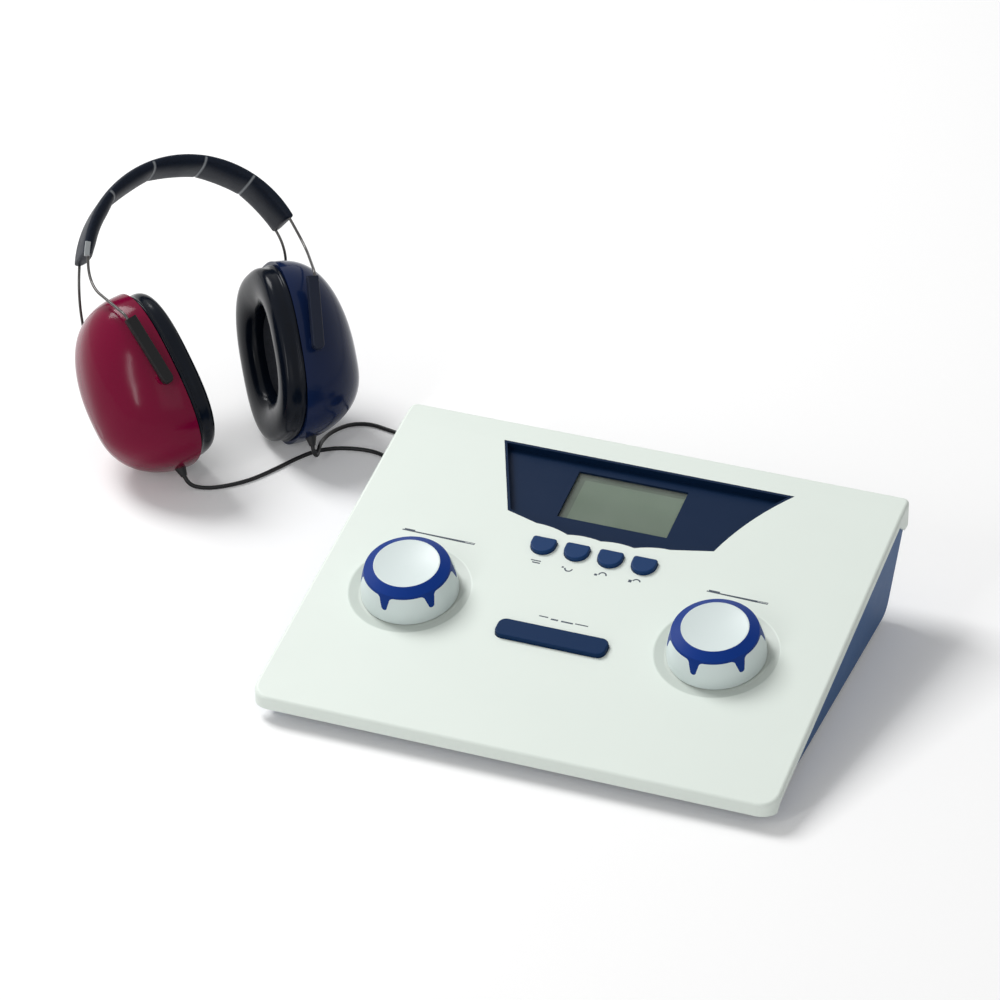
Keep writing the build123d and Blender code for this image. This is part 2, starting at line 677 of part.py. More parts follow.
def make_main_board():
    """The main board with its components: a row of chips and a row of capacitors."""
    low = BASE_FLOOR + MAIN_BOARD_LIFT
    top = low + BOARD_THICKNESS
    board = block_up(MAIN_BOARD_WIDTH, MAIN_BOARD_DEPTH, low, top)
    for x, width, depth, height in CHIPS:
        board += Pos(x, CHIP_LINE, 0) * block_up(width, depth, top, top + height)
    for i in range(CAPACITOR_COUNT):
        x = (i - (CAPACITOR_COUNT - 1) / 2) * CAPACITOR_PITCH
        can = cylinder_up(CAPACITOR_RADIUS, top, top + CAPACITOR_HEIGHT)
        board += Pos(x, -CAPACITOR_LINE, 0) * can
    holes = [Pos(x, y - MAIN_BOARD_Y, 0) for x, y in main_board_screw_places()]
    for hole in holes:
        board -= hole * cylinder_up(BOARD_SCREW_RADIUS + FIT_GAP, low, top)
    return Pos(0, MAIN_BOARD_Y, 0) * board


def key_switch():
    """A key switch on the board, with the well that takes a key's stem."""
    top = -BOARD_DEPTH + SWITCH_HEIGHT
    well = KEY_STEM + 2 * FIT_GAP
    body = block_up(SWITCH_SIZE, SWITCH_SIZE, -BOARD_DEPTH, top)
    return body - block_up(well, well, -BOARD_DEPTH + BOARD_THICKNESS / 2, top)


def bar_stem_u():
    return [CONTROL_SHIFT - BAR_STEM_SPACING / 2, CONTROL_SHIFT + BAR_STEM_SPACING / 2]


def make_key_switches():
    places = [(u, BUTTON_V) for u in BUTTON_U] + [(u, BAR_V) for u in bar_stem_u()]
    return [Pos(u, v, 0) * key_switch() for u, v in places]


def encoder(u):
    """Encoder body on the board with the bush that carries the knob's shaft."""
    shoulder = -BOARD_DEPTH + ENCODER_HEIGHT
    body = block_up(ENCODER_SIZE, ENCODER_SIZE, -BOARD_DEPTH, shoulder)
    body += cylinder_up(BUSH_RADIUS, shoulder, -DISH_DEPTH - FIT_GAP)
    body -= cylinder_up(SHAFT_RADIUS + SHAFT_GAP, -BOARD_DEPTH + BOARD_THICKNESS, 0)
    return Pos(u, KNOB_V, 0) * body


# ---------------------------------------------------------------- knobs
KNOB_LOW = -DISH_DEPTH + KNOB_FLOOR_GAP
KNOB_SHOULDER = KNOB_HEIGHT - KNOB_SHOULDER_DROP


def knob_form(shrink=0.0):
    """The knob's outside as a turned form, pulled in by shrink."""
    base = KNOB_BASE_RADIUS - shrink
    shoulder = KNOB_SHOULDER_RADIUS - shrink
    top = KNOB_TOP_RADIUS - shrink / 2
    rim = KNOB_HEIGHT - shrink
    middle = (KNOB_LOW + KNOB_SHOULDER) / 2
    bulge = (base + shoulder) / 2 + KNOB_WALL / 3
    half_section = make_face(
        [
            Line((0, KNOB_LOW), (base, KNOB_LOW)),
            ThreePointArc((base, KNOB_LOW), (bulge, middle), (shoulder, KNOB_SHOULDER - shrink / 2)),
            Line((shoulder, KNOB_SHOULDER - shrink / 2), (top, rim)),
            Line((top, rim), (0, rim)),
            Line((0, rim), (0, KNOB_LOW)),
        ]
    )
    return revolve(Plane.XZ * half_section, Axis.Z)


def grip_mask():
    """The space of the grip ring: a band round the top and pointed fingers down the side."""
    band = cylinder_up(KNOB_BASE_RADIUS * 2, KNOB_SHOULDER - GRIP_THICKNESS, KNOB_HEIGHT * 2)
    band -= cylinder_up(KNOB_TOP_RADIUS, 0, KNOB_HEIGHT * 2)
    half = GRIP_ROOT_WIDTH / 2
    neck = GRIP_NECK_WIDTH / 2
    tip = GRIP_TIP_WIDTH / 2
    top = KNOB_SHOULDER + GRIP_THICKNESS
    root = KNOB_SHOULDER - GRIP_THICKNESS
    flare = half - neck
    bow = flare * math.sqrt(0.5)
    end = GRIP_TIP_HEIGHT + tip
    outline = make_face(
        [
            Line((-half, top), (half, top)),
            Line((half, top), (half, root)),
            ThreePointArc((half, root), (half - bow, root - flare + bow), (neck, root - flare)),
            Line((neck, root - flare), (tip, end)),
            ThreePointArc((tip, end), (0, GRIP_TIP_HEIGHT), (-tip, end)),
            Line((-tip, end), (-neck, root - flare)),
            ThreePointArc((-neck, root - flare), (-half + bow, root - flare + bow), (-half, root)),
            Line((-half, root), (-half, top)),
        ]
    )
    finger = extrude(Plane.XZ * outline, KNOB_BASE_RADIUS * 2)
    mask = band
    for i in range(GRIP_FINGERS):
        mask += Rot(0, 0, GRIP_TURN + i * 360 / GRIP_FINGERS) * finger
    return mask - cylinder_up(KNOB_TOP_RADIUS, 0, KNOB_HEIGHT * 2)


def make_knob(side):
    """Returns the knob's shell, grip ring, top disc and shaft."""
    form = knob_form()
    core = knob_form(GRIP_THICKNESS)
    ring = (form - core) & grip_mask()
    cavity = knob_form(GRIP_THICKNESS + KNOB_WALL)
    cavity = cavity & cylinder_up(KNOB_BASE_RADIUS, KNOB_LOW - 1, KNOB_HUB_DEPTH)
    cavity -= cylinder_up(KNOB_HUB_RADIUS, KNOB_LOW - 1, KNOB_HEIGHT)
    shell = form - ring - cavity
    shaft_top = KNOB_HUB_DEPTH - 1
    shell -= cylinder_up(SHAFT_RADIUS, KNOB_LOW - 1, shaft_top)
    shell -= cylinder_up(BUSH_RADIUS + SLIDE_GAP, KNOB_LOW - 1, KNOB_LOW + KNOB_FLOOR_GAP)
    seat_radius = KNOB_TOP_RADIUS - DISC_RIM
    disc_floor = KNOB_HEIGHT - 2 * KNOB_DISH_SINK
    shell -= cylinder_up(seat_radius, disc_floor, KNOB_HEIGHT * 2)
    disc = cylinder_up(seat_radius - SHAFT_GAP, disc_floor, KNOB_HEIGHT)
    hollow_radius = (seat_radius**2 + KNOB_DISH_SINK**2) / (2 * KNOB_DISH_SINK)
    disc -= Pos(0, 0, KNOB_HEIGHT - KNOB_DISH_SINK + hollow_radius) * Sphere(hollow_radius)
    shaft = cylinder_up(SHAFT_RADIUS, -BOARD_DEPTH + 2 * BOARD_THICKNESS, shaft_top)
    place = CONSOLE * PANEL * Pos(KNOB_U[side], KNOB_V, 0)
    name = ("left", "right")[side]
    keep(name + "_knob_shell", shell, place)
    keep(name + "_knob_grip", ring, place)
    keep(name + "_knob_disc", disc, place)
    keep(name + "_encoder_shaft", shaft, place)


# ---------------------------------------------------------------- keys
def key(outline, flange, raise_height, stem_places):
    """A key through the panel: cap, retaining flange underneath and stems."""
    flange_top = PANEL_UNDERSIDE - FIT_GAP
    cap = Pos(0, 0, flange_top) * extrude(outline, raise_height - flange_top)
    top_edges = cap.faces().sort_by(Axis.Z)[-1].edges()
    cap = fillet(top_edges, raise_height / 3)
    cap += Pos(0, 0, flange_top - FLANGE) * extrude(flange, FLANGE)
    stem_low = -BOARD_DEPTH + SWITCH_HEIGHT - KEY_STEM_ENTRY
    for u in stem_places:
        cap += Pos(u, 0, 0) * block_up(KEY_STEM, KEY_STEM, stem_low, flange_top)
    return cap


def make_keys():
    for i, u in enumerate(BUTTON_U):
        button = key(button_outline(), button_outline(FLANGE), BUTTON_RAISE, [0])
        keep(f"button_{i + 1}", button, CONSOLE * PANEL * Pos(u, BUTTON_V, 0))
    stems = [u - CONTROL_SHIFT for u in bar_stem_u()]
    bar = key(bar_outline(), bar_outline(FLANGE), BAR_RAISE, stems)
    keep("tone_bar", bar, CONSOLE * PANEL * Pos(CONTROL_SHIFT, BAR_V, 0))


# ---------------------------------------------------------------- display
def make_bezel():
    """A tray let into the panel, held by a ledge under the cover."""
    outline = bezel_outline()
    low = -BEZEL_DEPTH - BEZEL_FLOOR
    tray = Pos(0, 0, low) * extrude(outline, -low)
    ledge_top = PANEL_UNDERSIDE - FIT_GAP
    ledge = Pos(0, 0, low) * extrude(offset(outline, BEZEL_LIP), ledge_top - low)
    tray += ledge
    pocket_face = offset(outline, -BEZEL_RIM)
    tray -= Pos(0, 0, -BEZEL_DEPTH) * extrude(pocket_face, BEZEL_DEPTH * 2)
    window = Pos(CONTROL_SHIFT, LCD_V, 0)
    tray -= window * block_up(LCD_WIDTH, LCD_HEIGHT, low, 0)
    recess_w = LCD_WIDTH + 2 * WINDOW_LAP
    recess_h = LCD_HEIGHT + 2 * WINDOW_LAP
    tray -= window * block_up(recess_w, recess_h, low, low + WINDOW_THICKNESS)
    return tray


def make_window():
    low = -BEZEL_DEPTH - BEZEL_FLOOR
    lap = 2 * (WINDOW_LAP - SHAFT_GAP)
    pane = block_up(LCD_WIDTH + lap, LCD_HEIGHT + lap, low, low + WINDOW_THICKNESS)
    return Pos(CONTROL_SHIFT, LCD_V, 0) * pane


def make_lcd():
    top = -BEZEL_DEPTH - BEZEL_FLOOR
    margin = 2 * LCD_MODULE_MARGIN
    body = block_up(LCD_WIDTH + margin, LCD_HEIGHT + margin, -BOARD_DEPTH, top)
    return Pos(CONTROL_SHIFT, LCD_V, 0) * body


# ---------------------------------------------------------------- rear sockets
def jack_socket():
    """A socket for a 6.3 mm plug, screwed through the rear wall."""
    body = block_up(JACK_BODY, JACK_BODY, -BASE_WALL - JACK_BODY_LENGTH, -BASE_WALL)
    body += cylinder_up(JACK_BUSH_RADIUS, -BASE_WALL - FIT_GAP, FIT_GAP)
    body += cylinder_up(JACK_FLANGE_RADIUS, 0, JACK_FLANGE_HEIGHT)
    mouth = JACK_FLANGE_HEIGHT
    return body - cylinder_up(JACK_BORE_RADIUS, mouth - JACK_BORE_DEPTH, mouth)


def make_power_inlet():
    """A barrel socket for the supply's lead, with its centre pin."""
    flange = INLET_BODY + 3
    body = block_up(INLET_BODY, INLET_BODY, -BASE_WALL - INLET_BODY_LENGTH, FIT_GAP)
    body += block_up(flange, flange, 0, JACK_FLANGE_HEIGHT)
    bore_low = -INLET_BODY_LENGTH + BASE_WALL
    body -= cylinder_up(INLET_BORE_RADIUS, bore_low, JACK_FLANGE_HEIGHT)
    return body + cylinder_up(INLET_PIN_RADIUS, bore_low, -BASE_WALL / 2)


def rocker_width():
    return ROCKER_WIDTH - 2 * SLIDE_GAP


def make_power_switch():
    """The switch's frame and its rocker, which turns on a pin across the frame."""
    outer_w = ROCKER_WIDTH + 2 * ROCKER_FRAME
    outer_h = ROCKER_HEIGHT + 2 * ROCKER_FRAME
    frame = block_up(outer_w, outer_h, 0, JACK_FLANGE_HEIGHT)
    neck = 2 + 2 * FIT_GAP
    frame += block_up(outer_w - neck, outer_h - neck, -ROCKER_DEPTH, JACK_FLANGE_HEIGHT)
    frame -= block_up(ROCKER_WIDTH, ROCKER_HEIGHT, -ROCKER_DEPTH + 1.5, JACK_FLANGE_HEIGHT)
    pin = Rot(0, 90, 0) * Cylinder(ROCKER_PIN_RADIUS, ROCKER_WIDTH + 1)
    frame += pin
    half = ROCKER_HEIGHT / 2 - 1.2
    rise = JACK_FLANGE_HEIGHT + half * math.tan(math.radians(ROCKER_TILT))
    outline = make_face(
        [
            Line((-half, rise), (-half, -1.0)),
            Line((-half, -1.0), (0, -4.0)),
            Line((0, -4.0), (half, -1.0)),
            Line((half, -1.0), (half, rise)),
            ThreePointArc((half, rise), (0, JACK_FLANGE_HEIGHT), (-half, rise)),
        ]
    )
    rocker = extrude(Plane.YZ * outline, rocker_width() / 2, both=True)
    rocker -= Rot(0, 90, 0) * Cylinder(ROCKER_PIN_RADIUS + SHAFT_GAP, ROCKER_WIDTH + 1)
    place = CONSOLE * rear_place(POWER_SWITCH_X)
    keep("power_switch_frame", frame, place)
    keep("power_switch_rocker", rocker, place * Rot(ROCKER_TILT, 0, 0))


def plug():
    """A plug seated in its socket: pin, barrel and tapered strain relief."""
    mouth = JACK_FLANGE_HEIGHT + SOFT_GAP
    barrel_end = mouth + PLUG_BODY_LENGTH
    body = cylinder_up(PLUG_PIN_RADIUS, mouth - PLUG_PIN_LENGTH, mouth)
    barrel = cylinder_up(PLUG_BODY_RADIUS, mouth, barrel_end)
    body += fillet(barrel.edges().sort_by(Axis.Z)[-1], 1.2)
    relief = Pos(0, 0, barrel_end) * Cone(
        PLUG_BODY_RADIUS * 0.6, RELIEF_TIP_RADIUS, PLUG_RELIEF_LENGTH, align=(Align.CENTER, Align.CENTER, Align.MIN)
    )
    return body + relief


PLUG_END = JACK_FLANGE_HEIGHT + SOFT_GAP + PLUG_BODY_LENGTH + PLUG_RELIEF_LENGTH

# ---------------------------------------------------------------- headset frame
YAW = math.radians(HEADSET_YAW)
LEAN = math.radians(HEADSET_LEAN)
HEADSET = Plane(
    origin=(CONSOLE_X + HEADSET_X, CONSOLE_Y + HEADSET_Y, HEADSET_Z),
    x_dir=(math.cos(YAW), math.sin(YAW), 0),
    z_dir=(math.sin(YAW) * math.cos(LEAN), -math.cos(YAW) * math.cos(LEAN), math.sin(LEAN)),
).location


def cup_place(side, lean):
    """A cup's own place: z out of the ear, y up the cup. side is -1 red, +1 blue."""
    turn = math.radians(lean)
    local = Plane(
        origin=(side * CUP_X, CUP_Y, 0),
        x_dir=(0, 0, -side),
        z_dir=(side * math.cos(turn), -math.sin(turn), 0),
    )
    return local.location


def pivot_point(side, lean):
    """The cup's pivot in the headset's plane."""
    place = HEADSET * cup_place(side, lean) * Pos(0, -PIVOT_DOWN, PIVOT_OUT)
    return (HEADSET.inverse() * place).position


def guide_place(side, lean, splay, front):
    """A guide's own place: origin at the pivot, y up the guide, z away from the cup."""
    pivot = pivot_point(side, lean)
    turn = math.radians(splay)
    local = Plane(
        origin=(pivot.X, pivot.Y, front * GUIDE_LINE),
        x_dir=(math.cos(turn) * front, -side * math.sin(turn) * front, 0),
        z_dir=(0, 0, front),
    )
    return local.location


SIDES = {"red": (-1, RED_LEAN, RED_SPLAY), "blue": (1, BLUE_LEAN, BLUE_SPLAY)}

# ---------------------------------------------------------------- ear cups
def oval(half_width, half_height, centre_y=0.0):
    """A squarish oval face, wide in X and tall in Y."""
    power = 2 / CUP_SQUARENESS
    points = []
    for i in range(OVAL_POINTS):
        angle = 2 * math.pi * i / OVAL_POINTS
        c, s = math.cos(angle), math.sin(angle)
        x = half_width * math.copysign(abs(c) ** power, c)
        y = half_height * math.copysign(abs(s) ** power, s)
        points.append((x, centre_y + y))
    return make_face(Spline(*points, periodic=True))


def dome_section(t, wall):
    """Half width, half height and middle of the cup at share t of its depth."""
    apex = -CUP_APEX_DROP
    top = apex + (CUP_HALF_HEIGHT - wall - apex) * math.sqrt(1 - t**CUP_TOP_POWER)
    bottom = apex - (CUP_HALF_HEIGHT - wall + apex) * math.sqrt(1 - t**CUP_BOTTOM_POWER)
    half_width = (CUP_HALF_WIDTH - wall) * math.sqrt(1 - t**CUP_SIDE_POWER)
    return half_width, (top - bottom) / 2, (top + bottom) / 2


def dome(wall):
    """The cup's rounded form, pulled in by a wall."""
    sections = []
    for t in CUP_SECTIONS:
        half_width, half_height, middle = dome_section(t, wall)
        sections.append(Pos(0, 0, t * (CUP_DEPTH - wall)) * oval(half_width, half_height, middle))
    return loft(sections)


def cup_half_width_at_pivot():
    """Half width of the cup's outside where its pivots stand."""
    half_width, half_height, middle = dome_section(PIVOT_OUT / CUP_DEPTH, 0)
    up = abs(-PIVOT_DOWN - middle) / half_height
    return half_width * (1 - up**CUP_SQUARENESS) ** (1 / CUP_SQUARENESS)


BOSS_END = GUIDE_LINE - GUIDE_THICKNESS / 2 - FIT_GAP
PIVOT_ENTRY = 6.0        # pin inside the cup's boss


def make_cup_shell():
    shell = dome(0) - dome(CUP_WALL)
    inner_reach = BOSS_END - PIVOT_ENTRY - CUP_WALL
    boss = extrude(Circle(PIVOT_BOSS_RADIUS), BOSS_END - inner_reach)
    hole = extrude(Circle(PIVOT_RADIUS + SHAFT_GAP), BOSS_END)
    for side in (-1, 1):
        across = Pos(0, -PIVOT_DOWN, PIVOT_OUT) * Rot(0, side * 90, 0)
        shell += across * Pos(0, 0, inner_reach) * boss
        shell -= across * Pos(0, 0, BOSS_END - PIVOT_ENTRY) * hole
    shell -= relief_place() * cylinder_up(RELIEF_RADIUS + SHAFT_GAP, -RELIEF_INSIDE - CUP_WALL, CUP_WALL * 2)
    return shell


def relief_place():
    """Where the lead leaves the cup, z along the lead's way out."""
    half_width, half_height, middle = dome_section(RELIEF_OUT / CUP_DEPTH, 0)
    across = abs(RELIEF_SIDE) / half_width
    drop = half_height * (1 - across**CUP_SQUARENESS) ** (1 / CUP_SQUARENESS)
    local = Plane(origin=(RELIEF_SIDE, middle - drop, RELIEF_OUT), x_dir=(1, 0, 0), z_dir=(0, -1, 0))
    return local.location


def make_relief():
    """A flanged grommet in the cup's wall that tapers onto the lead."""
    body = cylinder_up(RELIEF_RADIUS, -RELIEF_INSIDE, 0)
    body += Cone(RELIEF_RADIUS, RELIEF_TIP_RADIUS, RELIEF_LENGTH, align=(Align.CENTER, Align.CENTER, Align.MIN))
    return body - cylinder_up(LEAD_RADIUS + SHAFT_GAP, -RELIEF_INSIDE, 0)


def make_plate():
    """The baffle that closes the cup and carries the receiver."""
    inset = CUP_WALL + FIT_GAP
    face = oval(CUP_HALF_WIDTH - inset, CUP_HALF_HEIGHT - inset) - Circle(RECEIVER_HOLE_RADIUS)
    return extrude(face, PLATE_THICKNESS)


def make_cushion():
    """The ring cushion, held just off the rim."""
    ring = oval(CUSHION_HALF_WIDTH, CUSHION_HALF_HEIGHT) - oval(EAR_HALF_WIDTH, EAR_HALF_HEIGHT)
    pad = Pos(0, 0, -SOFT_GAP - CUSHION_THICKNESS) * extrude(ring, CUSHION_THICKNESS)
    return fillet(pad.faces().sort_by(Axis.Z)[0].edges(), CUSHION_ROUND)


def make_receiver():
    body = Pos(0, 0, PLATE_THICKNESS) * extrude(Circle(RECEIVER_RADIUS), RECEIVER_HEIGHT)
    return fillet(body.edges().sort_by(Axis.Z)[-1], 2.0)


def make_foam():
    """The acoustic foam in the ear opening, on the plate."""
    inset = 2 * SOFT_GAP
    face = oval(EAR_HALF_WIDTH - inset, EAR_HALF_HEIGHT - inset)
    return Pos(0, 0, -FOAM_THICKNESS) * extrude(face, FOAM_THICKNESS)


def make_cups():
    shell = make_cup_shell()
    plate = make_plate()
    cushion = make_cushion()
    receiver = make_receiver()
    foam = make_foam()
    relief = make_relief()
    for name, (side, lean, _) in SIDES.items():
        place = HEADSET * cup_place(side, lean)
        keep(name + "_cup_shell", shell, place)
        keep(name + "_cup_plate", plate, place)
        keep(name + "_cushion", cushion, place)
        keep(name + "_receiver", receiver, place)
        keep(name + "_ear_foam", foam, place)
        keep(name + "_lead_relief", relief, place * relief_place())


# ---------------------------------------------------------------- guides and pivots
def make_guide():
    """A slotted bar that holds a wire's end; the slot is wider than the wire."""
    low = -GUIDE_TAIL
    high = GUIDE_LENGTH - GUIDE_TAIL
    middle = (low + high) / 2
    body = Pos(0, middle, 0) * Box(GUIDE_WIDTH, GUIDE_LENGTH, GUIDE_THICKNESS)
    tail = body.edges().filter_by(Axis.Z).group_by(Axis.Y)[0]
    body = fillet(tail, GUIDE_WIDTH / 2 - FIT_GAP)
    body = fillet(body.edges().filter_by(Axis.Y), GUIDE_WALL)
    slot_width = GUIDE_WIDTH - 2 * GUIDE_WALL
    slot_depth = 2 * WIRE_RADIUS + 2 * FIT_GAP
    slot_low = high - WIRE_IN_GUIDE - FIT_GAP
    slot = Pos(0, (slot_low + high) / 2, 0) * Box(slot_width, high - slot_low, slot_depth)
    pin_hole = Cylinder(PIVOT_RADIUS, GUIDE_THICKNESS)
    return body - slot - pin_hole


def make_guides():
    guide = make_guide()
    for name, (side, lean, splay) in SIDES.items():
        bars = []
        pins = []
        for front in (-1, 1):
            place = HEADSET * guide_place(side, lean, splay, front)
            bars.append(place * guide)
            inner = -GUIDE_THICKNESS / 2 - FIT_GAP - PIVOT_ENTRY + FIT_GAP
            pins.append(place * cylinder_up(PIVOT_RADIUS, inner, GUIDE_THICKNESS / 2))
        keep(name + "_guides", bars)
        keep(name + "_pivot_pins", pins)


# ---------------------------------------------------------------- headband
def band_point(angle, radius, z):
    turn = math.radians(angle)
    return Vector(radius * math.sin(turn), radius * math.cos(turn), z)


def wire_line(front):
    """Radius and z of the front (1) or rear (-1) wire round the head."""
    half = front * WIRE_SPACING / 2
    return WIRE_LINE_RADIUS + half * math.sin(FLARE), half * math.cos(FLARE)


def wire_leg(side, lean, splay, end_angle, front):
    """Points from the arc's end down to the wire's end in its guide."""
    start = band_point(end_angle, *wire_line(front))
    turn = math.radians(end_angle)
    down = Vector(math.cos(turn), -math.sin(turn), 0) * math.copysign(1, end_angle)
    bend = start + down * WIRE_LEG
    guide_top = GUIDE_LENGTH - GUIDE_TAIL
    slot_edge = GUIDE_WIDTH / 2 - GUIDE_WALL - WIRE_RADIUS - FIT_GAP
    place = guide_place(side, lean, splay, front)
    across = slot_edge * side * front
    above = (place * Pos(across, guide_top + WIRE_ABOVE_GUIDE, 0)).position
    end = (place * Pos(across, guide_top - WIRE_IN_GUIDE, 0)).position
    return [start, bend, above, end]


def leg_radii(leg):
    """Bend radii of a leg: a wide sweep, then a bend that ends above the guide."""
    start, bend, above, end = leg
    wide = min((bend - start).length, (above - bend).length - WIRE_ABOVE_GUIDE)
    half_turns = [
        math.radians((bend - start).get_angle(above - bend)) / 2,
        math.radians((above - bend).get_angle(end - above)) / 2,
    ]
    spans = [wide * LEG_SWEEP, WIRE_ABOVE_GUIDE * LEG_SWEEP]
    return [span / math.tan(half) for span, half in zip(spans, half_turns)]


def make_wires():
    """Two spring wires, each bent in one piece from guide to guide."""
    wires = []
    for front in (-1, 1):
        left = wire_leg(-1, RED_LEAN, RED_SPLAY, BAND_LEFT_END, front)
        right = wire_leg(1, BLUE_LEAN, BLUE_SPLAY, BAND_RIGHT_END, front)
        left_run = FilletPolyline(*reversed(left), radius=list(reversed(leg_radii(left))))
        right_run = FilletPolyline(*right, radius=leg_radii(right))
        crown = ThreePointArc(left[0], band_point(0, *wire_line(front)), right[0])
        path = Wire(left_run.edges() + [crown] + right_run.edges())
        start = left[-1]
        section = Plane(origin=start, z_dir=left[-2] - start) * Circle(WIRE_RADIUS)
        wires.append(HEADSET * sweep(section, path=path))
    return wires


def band_sweep(section, overrun=0.0):
    """Turn a section (x radius, y forward) round the head, between the pad's ends."""
    arc = BAND_RIGHT_END - BAND_LEFT_END + 2 * overrun
    body = revolve(Plane.XZ * section, Axis.Z, revolution_arc=arc)
    return Rot(0, 0, 90 - BAND_RIGHT_END - overrun) * body


def make_band_pad():
    """The pad round the wires, with a channel for each wire."""
    strip = RectangleRounded(BAND_THICKNESS, BAND_WIDTH, PAD_CORNER)
    pad = band_sweep(Pos(WIRE_LINE_RADIUS, 0) * Rot(0, 0, -BAND_FLARE) * strip)
    reach = 2 * (WIRE_RADIUS + SHAFT_GAP)
    for front in (-1, 1):
        pad -= band_sweep(Pos(*wire_line(front)) * Rectangle(reach, reach), PAD_CORNER)
    return pad


# ---------------------------------------------------------------- leads
def tube(points):
    """A lead through the given points: straight runs with the largest arcs they allow."""
    path = [Vector(*p) for p in points]
    radii = []
    for before, corner, after in zip(path, path[1:], path[2:]):
        run_in = corner - before
        run_out = after - corner
        half_turn = math.radians(run_in.get_angle(run_out)) / 2
        radii.append(0.45 * min(run_in.length, run_out.length) / math.tan(half_turn))
    line = FilletPolyline(*path, radius=radii)
    section = Plane(origin=line @ 0, z_dir=line % 0) * Circle(LEAD_RADIUS)
    body = sweep(section, path=line)
    expected = math.pi * LEAD_RADIUS**2 * line.length
    print(
        "lead", round(line.length, 1), "mm, tightest radius", round(min(radii), 1),
        "radii", [round(r, 1) for r in radii], "volume share", round(body.volume / expected, 4),
    )
    return body


def coil(centre):
    """The outer shape of a wound lead."""
    half = COIL_RADIAL_WIDTH / 2
    ring = Circle(COIL_MEAN_RADIUS + half) - Circle(COIL_MEAN_RADIUS - half)
    body = extrude(ring, COIL_HEIGHT)
    body = fillet(body.edges(), LEAD_RADIUS)
    return Pos(centre[0], centre[1], 0) * body


def run_out(place, length, steps):
    """Points from a relief's tip: along its way out, then turned by the given steps."""
    tip = (place * Pos(0, 0, length)).position
    way = (tip - place.position).normalized()
    points = [tip, tip + way * steps[0][0]]
    for reach, x, y, z in steps[1:]:
        points.append(points[-1] + Vector(x, y, z).normalized() * reach)
    return points


def on_table(route):
    """Route points given from the console's middle."""
    return [CONSOLE * Pos(*point) for point in route]


def lead_from_cup(name):
    """A lead from its cup's strain relief to its coil."""
    side, lean, _ = SIDES[name]
    place = HEADSET * cup_place(side, lean) * relief_place()
    start = run_out(place, RELIEF_LENGTH, CUP_BENDS[name])
    return tube(start + [spot.position for spot in on_table(CUP_ROUTES[name])])


def lead_to_plug(name, jack_x):
    """The rest of a lead, from its coil to its plug."""
    place = CONSOLE * rear_place(jack_x)
    start = run_out(place, PLUG_END, [(LEAD_TO_PLUG, 0, 0, 0)])
    return tube(start + [spot.position for spot in on_table(PLUG_ROUTES[name])])


# Turns just outside each relief: length and direction of each short run
CUP_BENDS = {
    "red": [(4.0, 0, 0, 0), (5.6, 0.81, 0.3, -0.5)],
    "blue": [(2.8, 0, 0, 0), (2.8, 0.288, 0.157, -0.945), (2.8, 0.026, 0.756, -0.654)],
}
# Routes on the table from the console's middle, from the cup to the coil
CUP_ROUTES = {
    "red": [
        (-253.5, 89.2, LEAD_RADIUS),
        (-240.6, 101.2, LEAD_RADIUS),
        (-232.8, 114.5, LEAD_RADIUS),
        (-222.2, 139.1, LEAD_RADIUS),
        (-215.0, 149.5, LEAD_RADIUS),
        (-203.5, 156.8, LEAD_RADIUS),
        (-186.0, 159.6, LEAD_RADIUS),
        (-173.5, 154.5, LEAD_RADIUS),
        (-163.5, 145.0, LEAD_RADIUS),
        (-149.0, 137.0, LEAD_RADIUS),
        (-128.0, 134.5, LEAD_RADIUS),
        (-112.0, 135.6, LEAD_RADIUS),
        (-99.5, 139.8, LEAD_RADIUS),
        (-91.0, 150.4, LEAD_RADIUS),
        (-85.5, 161.5, LEAD_RADIUS),
        (-74.0, 173.5, LEAD_RADIUS),
    ],
    "blue": [
        (-212.7, 141.8, 4.6),
        (-215.0, 149.3, 5.0),
        (-217.6, 160.0, 1.8),
        (-216.8, 171.0, LEAD_RADIUS),
        (-210.5, 182.5, LEAD_RADIUS),
        (-199.5, 187.2, LEAD_RADIUS),
        (-186.5, 184.0, LEAD_RADIUS),
        (-172.0, 178.9, LEAD_RADIUS),
        (-157.0, 180.1, LEAD_RADIUS),
        (-139.0, 179.5, LEAD_RADIUS),
    ],
}
# And from the plug back to the coil
PLUG_ROUTES = {
    "red": [
        (-20.3, 157.3, 6.7),
        (-22.4, 166.5, 2.0),
        (-28.5, 176.2, 1.6),
        (-39.5, 180.2, 2.8),
        (-56.0, 179.5, 4.8),
    ],
    "blue": [
        (-100.3, 157.5, 6.6),
        (-102.2, 167.0, 2.0),
        (-108.5, 176.5, 1.6),
        (-119.0, 180.0, 2.6),
        (-135.0, 179.5, 4.8),
    ],
}
LEAD_TO_PLUG = 10.8


def make_leads():
    for name, jack_x in (("red", RED_JACK_X), ("blue", BLUE_JACK_X)):
        keep(name + "_lead", [lead_from_cup(name), lead_to_plug(name, jack_x)])


